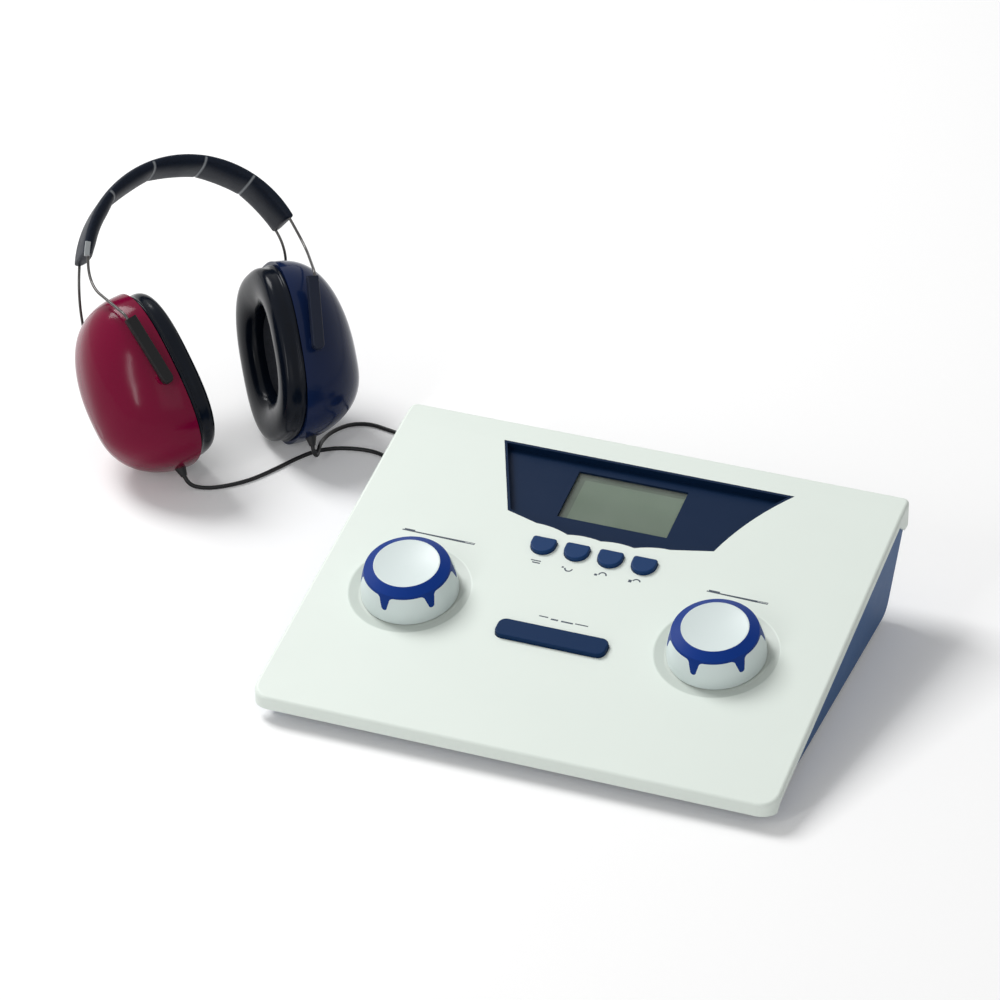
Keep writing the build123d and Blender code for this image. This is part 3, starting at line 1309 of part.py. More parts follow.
# ---------------------------------------------------------------- build
def build_console():
    keep("top_cover", make_cover(), CONSOLE)
    keep("lower_case", make_base(), CONSOLE)
    keep("feet", make_feet(), CONSOLE)
    keep("case_screws", make_case_screws(), CONSOLE)
    keep("board_screws", make_board_screws(), CONSOLE)
    keep("control_board", make_control_board(), CONSOLE)
    keep("main_board", make_main_board(), CONSOLE)
    keep("key_switches", make_key_switches(), CONSOLE * PANEL)
    keep("display_bezel", make_bezel(), CONSOLE * PANEL)
    keep("display_window", make_window(), CONSOLE * PANEL)
    keep("lcd_module", make_lcd(), CONSOLE * PANEL)
    for side in (0, 1):
        keep(("left", "right")[side] + "_encoder", encoder(KNOB_U[side]), CONSOLE * PANEL)
        make_knob(side)
    make_keys()
    socket = jack_socket()
    keep("red_jack", socket, CONSOLE * rear_place(RED_JACK_X))
    keep("blue_jack", socket, CONSOLE * rear_place(BLUE_JACK_X))
    keep("response_jack", socket, CONSOLE * rear_place(SPARE_JACK_X))
    keep("power_inlet", make_power_inlet(), CONSOLE * rear_place(POWER_INLET_X))
    make_power_switch()


def build_headset():
    make_cups()
    make_guides()
    keep("headband_wires", make_wires())
    keep("headband_pad", make_band_pad(), HEADSET)
    keep("red_plug", plug(), CONSOLE * rear_place(RED_JACK_X))
    keep("blue_plug", plug(), CONSOLE * rear_place(BLUE_JACK_X))
    keep("red_lead_coil", coil(RED_COIL), CONSOLE)
    keep("blue_lead_coil", coil(BLUE_COIL), CONSOLE)
    make_leads()


build_console()
build_headset()

os.makedirs("parts", exist_ok=True)
for node_name, node_shape in nodes.items():
    export_step(node_shape, f"parts/{node_name}.step")
cord_names = ("lead", "plug")
solid_names = [name for name in nodes if not name.endswith(cord_names) and "coil" not in name]
whole = Compound(children=[nodes[name] for name in solid_names]).bounding_box()
print("box without leads", whole.min, whole.max, "nodes", len(nodes))
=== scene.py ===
import math

import bpy
from mathutils import Matrix, Vector


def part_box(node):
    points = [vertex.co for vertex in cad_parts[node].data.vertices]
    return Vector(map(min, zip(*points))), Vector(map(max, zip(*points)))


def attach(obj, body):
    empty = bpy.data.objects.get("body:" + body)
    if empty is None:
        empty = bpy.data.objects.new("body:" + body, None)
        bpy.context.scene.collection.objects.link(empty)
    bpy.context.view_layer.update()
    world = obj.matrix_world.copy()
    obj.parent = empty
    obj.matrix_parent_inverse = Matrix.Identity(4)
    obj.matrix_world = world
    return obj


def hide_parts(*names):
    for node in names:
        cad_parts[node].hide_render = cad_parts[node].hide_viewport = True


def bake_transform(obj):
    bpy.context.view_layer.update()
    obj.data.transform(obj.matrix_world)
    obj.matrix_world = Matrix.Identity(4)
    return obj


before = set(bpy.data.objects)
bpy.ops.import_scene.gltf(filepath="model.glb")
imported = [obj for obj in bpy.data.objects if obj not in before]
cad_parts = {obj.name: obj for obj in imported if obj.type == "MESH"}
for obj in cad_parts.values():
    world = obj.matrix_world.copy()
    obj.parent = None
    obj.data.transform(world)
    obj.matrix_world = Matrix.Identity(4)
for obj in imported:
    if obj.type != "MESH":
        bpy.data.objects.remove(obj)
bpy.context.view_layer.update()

bl_info = {
    "name": "Portable Audiometer",
    "version": (1, 0, 0),
    "blender": (4, 5, 0),
    "location": "3D View > Sidebar > Audiometer",
    "description": "Dresses the audiometer's console, earmuff headset and leads",
    "category": "Object",
}

# Lengths that reach Blender are in metres, in the frame of the CAD model. Bare
# numbers are in millimetres, and MM turns them into metres. Places are counted
# from the console's middle, the panel's front edge or the headset's middle.
MM = 0.001

COVER_LOW, COVER_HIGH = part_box("top_cover")
CONSOLE = Vector(((COVER_LOW.x + COVER_HIGH.x) / 2, (COVER_LOW.y + COVER_HIGH.y) / 2, 0.0))
PANEL_SLOPE = math.radians(13.5)
PANEL_FRONT = Vector((CONSOLE.x, COVER_LOW.y, 14.5 * MM))
CONTROL_SHIFT = -5.0
BUTTON_PITCH = 18.8
BUTTON_COUNT = 4
KNOB_U = (-90.1, 80.1)
KNOB_V = 95.0
# Painted shade in the dish round each knob: how far out from the knob's middle it reaches
DISH_SHADE_RADIUS = 32.0 * MM
DISH_SHARPNESS = 1200  # per metre, across the painted shade's edge
PANEL_UP = Vector((0, math.cos(PANEL_SLOPE), math.sin(PANEL_SLOPE)))
DISPLAY_LOW, DISPLAY_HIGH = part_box("lcd_module")
DISPLAY_MIDDLE = (DISPLAY_LOW + DISPLAY_HIGH) / 2
# Where the painted shade along the display's left and top edges starts, from the display's middle
RECESS_SHADE_LEFT = 26.6
RECESS_SHADE_TOP = 14.6
RECESS_SHADE_SHARPNESS = 2500  # per metre, across the painted shade's edge

# The headset's own directions: across to the blue cup, up to the crown, forward
HEADSET_MIDDLE = CONSOLE + Vector((-296.3, 160.2, 94.6)) * MM
HEADSET_YAW = math.radians(45.5)
HEADSET_LEAN = math.radians(41.0)
ACROSS = Vector((math.cos(HEADSET_YAW), math.sin(HEADSET_YAW), 0.0))
FORWARD = Vector(
    (
        math.sin(HEADSET_YAW) * math.cos(HEADSET_LEAN),
        -math.cos(HEADSET_YAW) * math.cos(HEADSET_LEAN),
        math.sin(HEADSET_LEAN),
    )
)
CROWN = FORWARD.cross(ACROSS)
CUP_RIM = (37.8, -56.2)
# Each cup's side of the headset, and how far its outside is turned down
CUPS = {"red": (-1, math.radians(11.0)), "blue": (1, math.radians(5.2))}


def console_point(point):
    """A place given in millimetres from the console's middle."""
    return CONSOLE + Vector(point) * MM


def axes_matrix(x_axis, y_axis, z_axis, origin):
    """A placing matrix from three directions and an origin."""
    turn = Matrix((x_axis, y_axis, z_axis)).transposed()
    return Matrix.Translation(origin) @ turn.to_4x4()


def cup_matrix(name):
    """A cup's own place: x across it, y up it, z out of the ear."""
    side, lean = CUPS[name]
    out = ACROSS * (side * math.cos(lean)) - CROWN * math.sin(lean)
    wide = FORWARD * -side
    middle = HEADSET_MIDDLE + (ACROSS * side * CUP_RIM[0] + CROWN * CUP_RIM[1]) * MM
    return axes_matrix(wide, out.cross(wide), out, middle)


def panel_matrix(u=0.0, v=0.0, height=0.0):
    """A place on the console's panel: x across it, y up its slope, z out of it."""
    normal = Vector((0, -math.sin(PANEL_SLOPE), math.cos(PANEL_SLOPE)))
    across = Vector((1, 0, 0))
    origin = PANEL_FRONT + (across * u + PANEL_UP * v + normal * height) * MM
    return axes_matrix(across, PANEL_UP, normal, origin)


# ------------------------------------------------------------------ settings


def colour_setting(name, description, default):
    return bpy.props.FloatVectorProperty(
        name=name, description=description, subtype="COLOR", size=3, min=0, max=1, default=default
    )


def length_setting(name, description, default):
    return bpy.props.FloatProperty(
        name=name, description=description, unit="LENGTH", min=0, default=default
    )


class AudiometerColours(bpy.types.PropertyGroup):
    panel: colour_setting("Panel", "Cover of the console", (0.735, 0.80, 0.745))
    case: colour_setting("Case", "Base of the console", (0.050, 0.113, 0.250))
    bezel: colour_setting("Bezel", "Surround of the display", (0.004, 0.016, 0.048))
    display: colour_setting("Display", "Face of the display", (0.135, 0.195, 0.135))
    knob: colour_setting("Knob", "Shell and top of the knobs", (0.68, 0.76, 0.75))
    grip: colour_setting("Grip", "Grip rings of the knobs", (0.001, 0.030, 0.21))
    button: colour_setting("Buttons", "Push buttons", (0.005, 0.034, 0.118))
    bar: colour_setting("Tone bar", "Long key for the tone", (0.003, 0.022, 0.075))
    red_cup: colour_setting("Red cup", "Shell of the right earphone", (0.165, 0.0012, 0.027))
    blue_cup: colour_setting("Blue cup", "Shell of the left earphone", (0.006, 0.015, 0.056))
    vinyl: colour_setting("Vinyl", "Ear cushions and head pad", (0.003, 0.005, 0.010))


class AudiometerSizes(bpy.types.PropertyGroup):
    lead_diameter: length_setting("Lead diameter", "Thickness of each headset lead", 2.4 * MM)
    coil_inner: length_setting("Coil inner radius", "Innermost turn of a wound lead", 8.2 * MM)
    coil_outer: length_setting("Coil outer radius", "Outermost turn of a wound lead", 17.8 * MM)
    coil_rows: bpy.props.IntProperty(
        name="Coil rows", description="Layers of turns on each other", min=1, max=8, default=4
    )
    cushion_swell: length_setting("Cushion swell", "Furthest the vinyl swells", 0.9 * MM)
    pad_swell: length_setting("Pad swell", "Furthest the head pad's panels swell", 0.5 * MM)


# ------------------------------------------------------------------ materials


class Value:
    """A shader socket that can be used in Python arithmetic."""

    def __init__(self, paint, socket):
        self.paint = paint
        self.socket = socket

    def math(self, operation, first, second):
        return self.paint.node("Math", {"operation": operation}, {0: first, 1: second})

    def __add__(self, other):
        return self.math("ADD", self, other)

    __radd__ = __add__

    def __sub__(self, other):
        return self.math("SUBTRACT", self, other)

    def __rsub__(self, other):
        return self.math("SUBTRACT", other, self)

    def __mul__(self, other):
        return self.math("MULTIPLY", self, other)

    __rmul__ = __mul__

    def below(self, other):
        return self.math("LESS_THAN", self, other)

    def least(self, other):
        return self.math("MINIMUM", self, other)

    def most(self, other):
        return self.math("MAXIMUM", self, other)


class Paint:
    """One material, with its shader and the nodes that feed it."""

    def __init__(self, name, **constants):
        self.material = bpy.data.materials.new(name)
        self.material.use_nodes = True
        self.tree = self.material.node_tree
        self.shader = self.tree.nodes["Principled BSDF"]
        for key, value in constants.items():
            self.set(key.replace("_", " ").title().replace("Ior", "IOR"), value)

    def set(self, socket_name, value):
        self.feed(self.shader.inputs[socket_name], value)
        return self

    def feed(self, socket, value):
        if isinstance(value, Value):
            self.tree.links.new(value.socket, socket)
        elif hasattr(value, "__len__") and len(value) == 3 and socket.type == "RGBA":
            socket.default_value = (*value, 1.0)
        else:
            socket.default_value = value

    def node(self, kind, settings=None, inputs=None, output=0):
        made = self.tree.nodes.new("ShaderNode" + kind)
        for key, value in (settings or {}).items():
            setattr(made, key, value)
        for key, value in (inputs or {}).items():
            self.feed(made.inputs[key], value)
        return Value(self, made.outputs[output])

    def place(self):
        """Where a point is on the piece, in metres."""
        return self.node("TexCoord", output="Object")

    def noise(self, scale, detail=2.0, roughness=0.5, place=None):
        vector = place or self.place()
        inputs = {"Vector": vector, "Scale": scale, "Detail": detail, "Roughness": roughness}
        return self.node("TexNoise", inputs=inputs)

    def cells(self, scale, feature="F1"):
        inputs = {"Vector": self.place(), "Scale": scale}
        return self.node("TexVoronoi", {"feature": feature}, inputs, "Distance")

    def blend(self, factor, first, second):
        """A colour between two colours."""
        return self.node(
            "Mix", {"data_type": "RGBA"}, {"Factor": factor, 6: first, 7: second}, output=2
        )

    def bump(self, height, depth, strength=1.0):
        made = self.node("Bump", inputs={"Height": height, "Distance": depth, "Strength": strength})
        return self.set("Normal", made)


RUBBER_BLACK = (0.012, 0.012, 0.013)
STRAP_BLACK = (0.02, 0.02, 0.022)
FOOT_BLACK = (0.02, 0.02, 0.02)
FOAM_BLACK = (0.006, 0.007, 0.010)
PLASTIC_BLACK = (0.018, 0.018, 0.02)
GUIDE_COLOURS = {"red": (0.013, 0.013, 0.014), "blue": (0.012, 0.016, 0.030)}
CLIP_GREY = (0.32, 0.34, 0.35)
CREASE_HIGHLIGHT_GREY = (0.34, 0.36, 0.38)
PLAIN_STEEL = (0.55, 0.55, 0.56)
DARK_STEEL = (0.085, 0.082, 0.080)
PAD_BRASS = (0.55, 0.50, 0.38)
FLOOR_COLOURS = ((0.90, 0.90, 0.90), (0.92, 0.92, 0.92))
INK = (0.03, 0.045, 0.07)
# How dark the painted shade in each knob's dish is, as a share of the panel's colour
DISH_SHADE = 0.78


def shaded(colour, factor):
    """The same colour, darker or lighter."""
    return tuple(min(1.0, channel * factor) for channel in colour)


def moulded_plastic(
    name, colour, roughness, grain=0.00003, grain_scale=2600, mottle=0.05, shine=0.4
):
    """Moulded plastic: a fine sparked grain, faint flow marks and worn-smooth patches."""
    paint = Paint(name, ior=1.45, specular_ior_level=shine)
    flow = paint.noise(14, 3, 0.55)
    tone = paint.blend(flow, shaded(colour, 1 - mottle), shaded(colour, 1 + mottle))
    paint.set("Base Color", tone)
    wear_and_highlight = paint.noise(60, 4, 0.6)
    paint.set("Roughness", wear_and_highlight * 0.16 + (roughness - 0.08))
    speckle = paint.noise(grain_scale, 2, 0.7)
    return paint.bump(speckle, grain).material


def soft_vinyl(name, colour, roughness):
    """Smooth skin of a cushion, with faint handling marks and long stretch wrinkles."""
    paint = Paint(name, ior=1.5, specular_ior_level=0.11)
    wrinkle = paint.noise(90, 4, 0.5)
    paint.set("Base Color", paint.blend(wrinkle, shaded(colour, 0.7), shaded(colour, 1.3)))
    paint.set("Roughness", paint.noise(200, 3) * 0.16 + (roughness - 0.08))
    return paint.bump(wrinkle, 0.00006).material


def cord_rubber(name, colour):
    """Cover of a lead: matt with drawn lines and dust."""
    paint = Paint(name, ior=1.45, specular_ior_level=0.3)
    dust = paint.noise(240, 4, 0.65)
    paint.set("Base Color", paint.blend(dust, shaded(colour, 0.7), shaded(colour, 1.7)))
    paint.set("Roughness", dust * 0.2 + 0.34)
    return paint.bump(paint.noise(1500, 2), 0.00003).material


def open_foam(name, colour):
    """Reticulated foam: dark pores between pale struts."""
    paint = Paint(name, roughness=0.95, specular_ior_level=0.1)
    pore = (paint.cells(900) * 1.8).least(1.0)
    paint.set("Base Color", paint.blend(pore, shaded(colour, 0.25), shaded(colour, 1.6)))
    return paint.bump(1.0 - pore, 0.0004).material


def brushed_metal(name, colour, roughness):
    """Drawn or turned steel with fine scratches and a little tarnish."""
    paint = Paint(name, metallic=1.0)
    stretch = paint.node("Mapping", inputs={"Vector": paint.place(), "Scale": (1, 1, 14)})
    scratch = paint.noise(700, 3, 0.7, stretch)
    tarnish = paint.noise(50, 4)
    paint.set("Base Color", paint.blend(tarnish, shaded(colour, 0.8), shaded(colour, 1.1)))
    paint.set("Roughness", scratch * 0.25 + (roughness - 0.1))
    return paint.bump(scratch, 0.00002).material


def circuit_board(name):
    """Lacquered board with copper runs under the green and paler pads."""
    paint = Paint(name, roughness=0.35, coat_weight=0.3)
    brick = paint.node(
        "TexBrick",
        {"offset": 0.35},
        {
            "Vector": paint.place(),
            "Color1": (0.010, 0.090, 0.030, 1),
            "Color2": (0.016, 0.130, 0.045, 1),
            "Mortar": (0.030, 0.200, 0.080, 1),
            "Scale": 160,
            "Mortar Size": 0.05,
        },
    )
    pads = paint.cells(320).below(0.16)
    paint.set("Base Color", paint.blend(pads, brick, PAD_BRASS))
    paint.set("Metallic", pads * 0.9)
    return paint.bump(pads, 0.00008).material


def display_face(name, colour):
    """Unlit liquid-crystal face: fine rows, a faint cloud, and painted shade along two edges, as if
    cast by the recess over it.
    """
    paint = Paint(name, roughness=0.28, ior=1.5, specular_ior_level=0.1)
    cloud = paint.noise(34, 2)
    tone = paint.blend(cloud, shaded(colour, 0.86), shaded(colour, 1.12))
    rows = paint.node(
        "TexBrick",
        {"offset": 0.0},
        {"Vector": paint.place(), "Scale": 900, "Mortar Size": 0.12, "Color1": (1, 1, 1, 1),
         "Color2": (1, 1, 1, 1), "Mortar": (0.88, 0.88, 0.88, 1)},
    )
    face = paint.node("Mix", {"data_type": "RGBA", "blend_type": "MULTIPLY"},
                      {"Factor": 0.8, 6: tone, 7: rows}, output=2)
    off = paint.node("VectorMath", {"operation": "SUBTRACT"}, {0: paint.place(), 1: DISPLAY_MIDDLE})
    shaded_sides = []
    for axis, edge in ((Vector((-1, 0, 0)), RECESS_SHADE_LEFT), (PANEL_UP, RECESS_SHADE_TOP)):
        along = paint.node("VectorMath", {"operation": "DOT_PRODUCT"}, {0: off, 1: axis}, "Value")
        shaded_sides.append(((along - edge * MM) * RECESS_SHADE_SHARPNESS + 0.5).least(1.0).most(0.0))
    # painted shade: the face's left and top edges are darkened where the recess over the display
    # would shade them
    rim = shaded_sides[0].most(shaded_sides[1])
    paint.set("Base Color", paint.blend(rim * 0.55, face, shaded(colour, 0.2)))
    return paint.material


def clear_pane(name):
    """Clear pane over the display, with faint finger marks."""
    paint = Paint(name, ior=1.45, base_color=(0.75, 0.80, 0.76))
    smear = paint.noise(70, 4, 0.6)
    paint.set("Roughness", smear * 0.12 + 0.02)
    return paint.set("Alpha", smear * 0.08 + 0.06).material


def printed_ink(name, colour):
    """Silk-screened ink, slightly uneven."""
    paint = Paint(name, roughness=0.6)
    tone = paint.blend(paint.noise(1800, 3), shaded(colour, 0.8), shaded(colour, 1.3))
    return paint.set("Base Color", tone).material


def paint_node(material, *names):
    """Give CAD nodes a material in place of their plain one."""
    for name in names:
        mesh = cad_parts[name].data
        mesh.materials.clear()
        mesh.materials.append(material)


# ------------------------------------------------------------------ mesh helpers


def deselect():
    for thing in bpy.context.selected_objects:
        thing.select_set(False)


def make_active(piece):
    deselect()
    piece.select_set(True)
    bpy.context.view_layer.objects.active = piece


def new_piece(name, material, smooth=True):
    """Name the object that an operator just added, and give it its finish."""
    piece = bpy.context.active_object
    piece.name = name
    piece.data.name = name
    piece.data.materials.append(material)
    if smooth:
        for face in piece.data.polygons:
            face.use_smooth = True
    return piece


def settle(piece, matrix):
    """Put a piece's place into its mesh, so its object stands at the origin."""
    bpy.context.view_layer.update()
    piece.data.transform(matrix @ piece.matrix_world)
    piece.matrix_world = Matrix.Identity(4)
    piece.data.update()
    return piece


def apply_modifiers(piece):
    make_active(piece)
    for modifier in list(piece.modifiers):
        bpy.ops.object.modifier_apply(modifier=modifier.name)


def face_outwards(piece):
    """Turn every face of a closed form outwards."""
    make_active(piece)
    bpy.ops.object.mode_set(mode="EDIT")
    bpy.ops.mesh.select_all(action="SELECT")
    bpy.ops.mesh.normals_make_consistent(inside=False)
    bpy.ops.object.mode_set(mode="OBJECT")


def subdivide_smooth(piece):
    modifier = piece.modifiers.new("smooth", "SUBSURF")
    modifier.levels = 1
    modifier.render_levels = 1
    apply_modifiers(piece)


def swell(piece, pinned, pressure, limit, frames=18):
    """Blow a closed skin up like a filled cushion; pinned points stay, moves are capped."""
    group = piece.vertex_groups.new(name="held")
    group.add(pinned, 1.0, "REPLACE")
    start = [vertex.co.copy() for vertex in piece.data.vertices]
    make_active(piece)
    cloth = piece.modifiers.new("skin", "CLOTH")
    cloth.settings.use_pressure = True
    cloth.settings.uniform_pressure_force = pressure
    cloth.settings.effector_weights.gravity = 0
    cloth.settings.vertex_group_mass = "held"
    cloth.settings.quality = 6
    cloth.settings.mass = 0.15
    cloth.settings.tension_stiffness = 25
    cloth.settings.compression_stiffness = 25
    cloth.settings.bending_stiffness = 2.0
    cloth.point_cache.frame_start = 1
    cloth.point_cache.frame_end = frames
    scene = bpy.context.scene
    for number in range(1, frames + 1):
        scene.frame_set(number)
    bpy.ops.object.modifier_apply(modifier=cloth.name)
    scene.frame_set(1)
    for vertex, was in zip(piece.data.vertices, start):
        move = vertex.co - was
        if move.length > limit:
            vertex.co = was + move.normalized() * limit
    piece.vertex_groups.clear()


def oval_point(half_width, half_height, angle, power=2 / 2.6):
    """A point of a squarish oval."""
    c, s = math.cos(angle), math.sin(angle)
    x = half_width * math.copysign(abs(c) ** power, c)
    y = half_height * math.copysign(abs(s) ** power, s)
    return Vector((x, y, 0.0))


# ------------------------------------------------------------------ leads

# Routes on the table, in millimetres from the console's middle
CUP_ROUTES = {
    "red": [
        (-269.8, 85.1, 7.7), (-267.5, 83.9, 4.7), (-263.0, 85.6, 1.7),
        (-253.5, 89.2, 1.2), (-240.6, 101.2, 1.2), (-232.8, 114.5, 1.2),
        (-222.2, 139.1, 1.2), (-215.0, 149.5, 1.2), (-203.5, 156.8, 1.2),
        (-186.0, 159.6, 1.2), (-173.5, 154.5, 1.2), (-163.5, 145.0, 1.2),
        (-149.0, 137.0, 1.2), (-128.0, 134.5, 1.2), (-112.0, 135.6, 1.2),
        (-99.5, 139.8, 1.2), (-91.0, 150.4, 1.2), (-85.5, 161.5, 1.2),
        (-81.0, 172.5, 1.2),
    ],
    "blue": [
        (-213.5, 135.9, 11.6), (-212.4, 134.4, 9.5), (-211.6, 134.9, 6.85),
        (-211.5, 137.0, 5.0), (-212.7, 141.8, 4.2), (-215.0, 149.3, 4.4),
        (-217.6, 160.0, 1.6), (-216.8, 171.0, 1.2), (-210.5, 182.5, 1.2),
        (-199.5, 187.2, 1.2), (-186.5, 184.0, 1.2), (-172.0, 181.0, 1.2),
        (-157.0, 183.5, 1.2),
    ],
}
COIL_MIDDLE = {"red": (-61.1, 166.1), "blue": (-137.0, 167.4)}
# Where round its coil a lead comes in and where it leaves, in degrees
COIL_START = {"red": 128.0, "blue": 96.0}
COIL_LEAVES = 70.0
PLUG_ROUTES = {
    "red": [
        (-43.0, 181.0, 6.4), (-32.5, 174.5, 2.6), (-24.2, 166.5, 2.0),
        (-20.6, 157.3, 6.7), (-20.0, 147.8, 11.1), (-20.0, 137.2, 13.1),
    ],
    "blue": [
        (-119.5, 182.6, 6.4), (-110.0, 176.0, 2.6), (-103.2, 167.0, 2.0),
        (-100.5, 157.5, 6.6), (-100.0, 147.8, 11.1), (-100.0, 137.2, 13.1),
    ],
}
TURN_POINTS = 14        # control points for each turn of a coil
TIE_WIDTH = 9.0
TIE_THICKNESS = 0.9
TIE_SLACK = 0.5         # room between the turns and the strap's inside
TIE_EDGE = 0.25


def coil_turns(name, sizes):
    """Control points of a neat clockwise coil, wound in rows that run in and out."""
    middle = COIL_MIDDLE[name]
    inner, outer = sizes.coil_inner / MM, sizes.coil_outer / MM
    pitch = sizes.lead_diameter / MM
    swing = 1 / math.cos(math.pi / TURN_POINTS) ** 0.5
    start = math.radians(COIL_START[name])
    step = 2 * math.pi / TURN_POINTS
    row_points = round((outer - inner) / pitch * TURN_POINTS)
    left_over = (COIL_START[name] - COIL_LEAVES) % 360 / 360 * TURN_POINTS
    total = sizes.coil_rows * row_points + round(left_over)
    points = []
    for i in range(total):
        row = min(i // row_points, sizes.coil_rows - 1)
        share = min(1.0, i / row_points - row)
        radius = outer + (inner - outer) * (share if row % 2 == 0 else 1 - share)
        angle = start - i * step
        low = pitch / 2 + row * pitch
        x = middle[0] + radius * swing * math.cos(angle)
        y = middle[1] + radius * swing * math.sin(angle)
        points.append((x, y, low))
    return points


def spline_object(name, points, bevel):
    """A smooth curve over control points."""
    curve = bpy.data.curves.new(name, "CURVE")
    curve.dimensions = "3D"
    curve.resolution_u = 5
    curve.bevel_depth = bevel
    curve.bevel_resolution = 3
    curve.use_fill_caps = True
    spline = curve.splines.new("NURBS")
    spline.points.add(len(points) - 1)
    for control, place in zip(spline.points, points):
        control.co = (*console_point(place), 1.0)
    spline.order_u = 3
    spline.use_endpoint_u = True
    piece = bpy.data.objects.new(name, curve)
    bpy.context.scene.collection.objects.link(piece)
    return piece


def route_line(name, points):
    """The line that a spline follows, as points."""
    line = spline_object(name + "_line", points, 0.0)
    bpy.context.view_layer.update()
    mesh = bpy.data.meshes.new_from_object(line)
    places = [vertex.co.copy() for vertex in mesh.vertices]
    bpy.data.meshes.remove(mesh)
    bpy.data.objects.remove(line)
    return places


class AUDIOMETER_OT_leads(bpy.types.Operator):
    """Lay both headset leads: along the table, wound up behind the console and into their plugs"""

    bl_idname = "audiometer.leads"
    bl_label = "Headset leads"

    def execute(self, context):
        sizes = context.scene.audiometer_sizes
        cover = cord_rubber("lead_cover", RUBBER_BLACK)
        strap = cord_rubber("tie_strap", STRAP_BLACK)
        for name in CUPS:
            route = CUP_ROUTES[name] + coil_turns(name, sizes) + PLUG_ROUTES[name]
            path = route_line(name, route)
            tube = spline_object(name + "_lead_cord", route, sizes.lead_diameter / 2)
            make_active(tube)
            bpy.ops.object.convert(target="MESH")
            tube = new_piece(name + "_lead_cord", cover)
            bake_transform(tube)
            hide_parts(name + "_lead", name + "_lead_coil")
            tie = self.tie(name, sizes, strap)
        return {"FINISHED"}

    def tie(self, name, sizes, strap):
        """A flat strap round the coil's turns."""
        middle = COIL_MIDDLE[name]
        radius = (sizes.coil_inner + sizes.coil_outer) / 2
        half_width = (sizes.coil_outer - sizes.coil_inner + sizes.lead_diameter) / 2
        height = sizes.coil_rows * sizes.lead_diameter
        deselect()
        bpy.ops.mesh.primitive_cylinder_add(
            vertices=40, radius=1, depth=TIE_WIDTH * MM, end_fill_type="NOTHING"
        )
        piece = new_piece(name + "_lead_tie", strap)
        for vertex in piece.data.vertices:
            angle = math.atan2(vertex.co.y, vertex.co.x)
            spot = oval_point(half_width + TIE_SLACK * MM, height / 2, angle, power=0.5)
            vertex.co.x, vertex.co.y = spot.x, spot.y
        wall = piece.modifiers.new("wall", "SOLIDIFY")
        wall.thickness = TIE_THICKNESS * MM
        wall.offset = 1.0
        edge = piece.modifiers.new("edge", "BEVEL")
        edge.width = TIE_EDGE * MM
        edge.segments = 2
        apply_modifiers(piece)
        turn = Matrix.Rotation(math.radians(90), 4, "X")
        spot = console_point((middle[0] + radius / MM, middle[1], 0))
        spot.z = height / 2 + TIE_THICKNESS * MM
        settle(piece, Matrix.Translation(spot) @ turn)
        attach(piece, "console")
        return piece


# ------------------------------------------------------------------ soft pieces

CUSHION_OUTER = (42.5, 49.5)
CUSHION_OPENING = (21.0, 26.5)
# Once round the skin of a cushion: how far it stands from the middle of the ring's
# breadth (1 is the outside), how deep it lies from the cup, and whether it is held
CUSHION_SKIN = (
    (0.965, 6.6, 0),
    (0.955, 8.4, 0),
    (0.900, 10.1, 0),
    (0.800, 11.5, 0),
    (0.640, 12.5, 0),
    (0.440, 13.1, 0),
    (0.220, 13.3, 0),
    (0.000, 13.2, 0),
    (-0.220, 12.9, 0),
    (-0.430, 12.3, 0),
    (-0.620, 11.4, 0),
    (-0.780, 10.1, 0),
    (-0.900, 8.4, 0),
    (-0.960, 6.4, 0),
    (-0.980, 4.4, 0),
    (-0.980, 2.4, 0),
    (-0.960, 0.8, 1),
    (-0.900, 0.3, 1),
    (-0.500, 0.3, 1),
    (0.000, 0.3, 1),
    (0.500, 0.3, 1),
    (0.930, 0.3, 1),
    (0.990, 0.7, 1),
    (1.000, 1.5, 1),
    (0.975, 2.2, 1),
    (0.915, 2.6, 1),
    (0.900, 3.2, 1),
    (0.930, 4.6, 0),
)
CUSHION_DEPTH = max(depth for _, depth, _ in CUSHION_SKIN)
SWELL_ROOM = 0.6        # share of the swell that the skin first stands back
CUSHION_PRESSURE = 5.0
FOAM_GAP = 0.7          # between the foam and the cushion's opening
FOAM_CROWN = 4.0


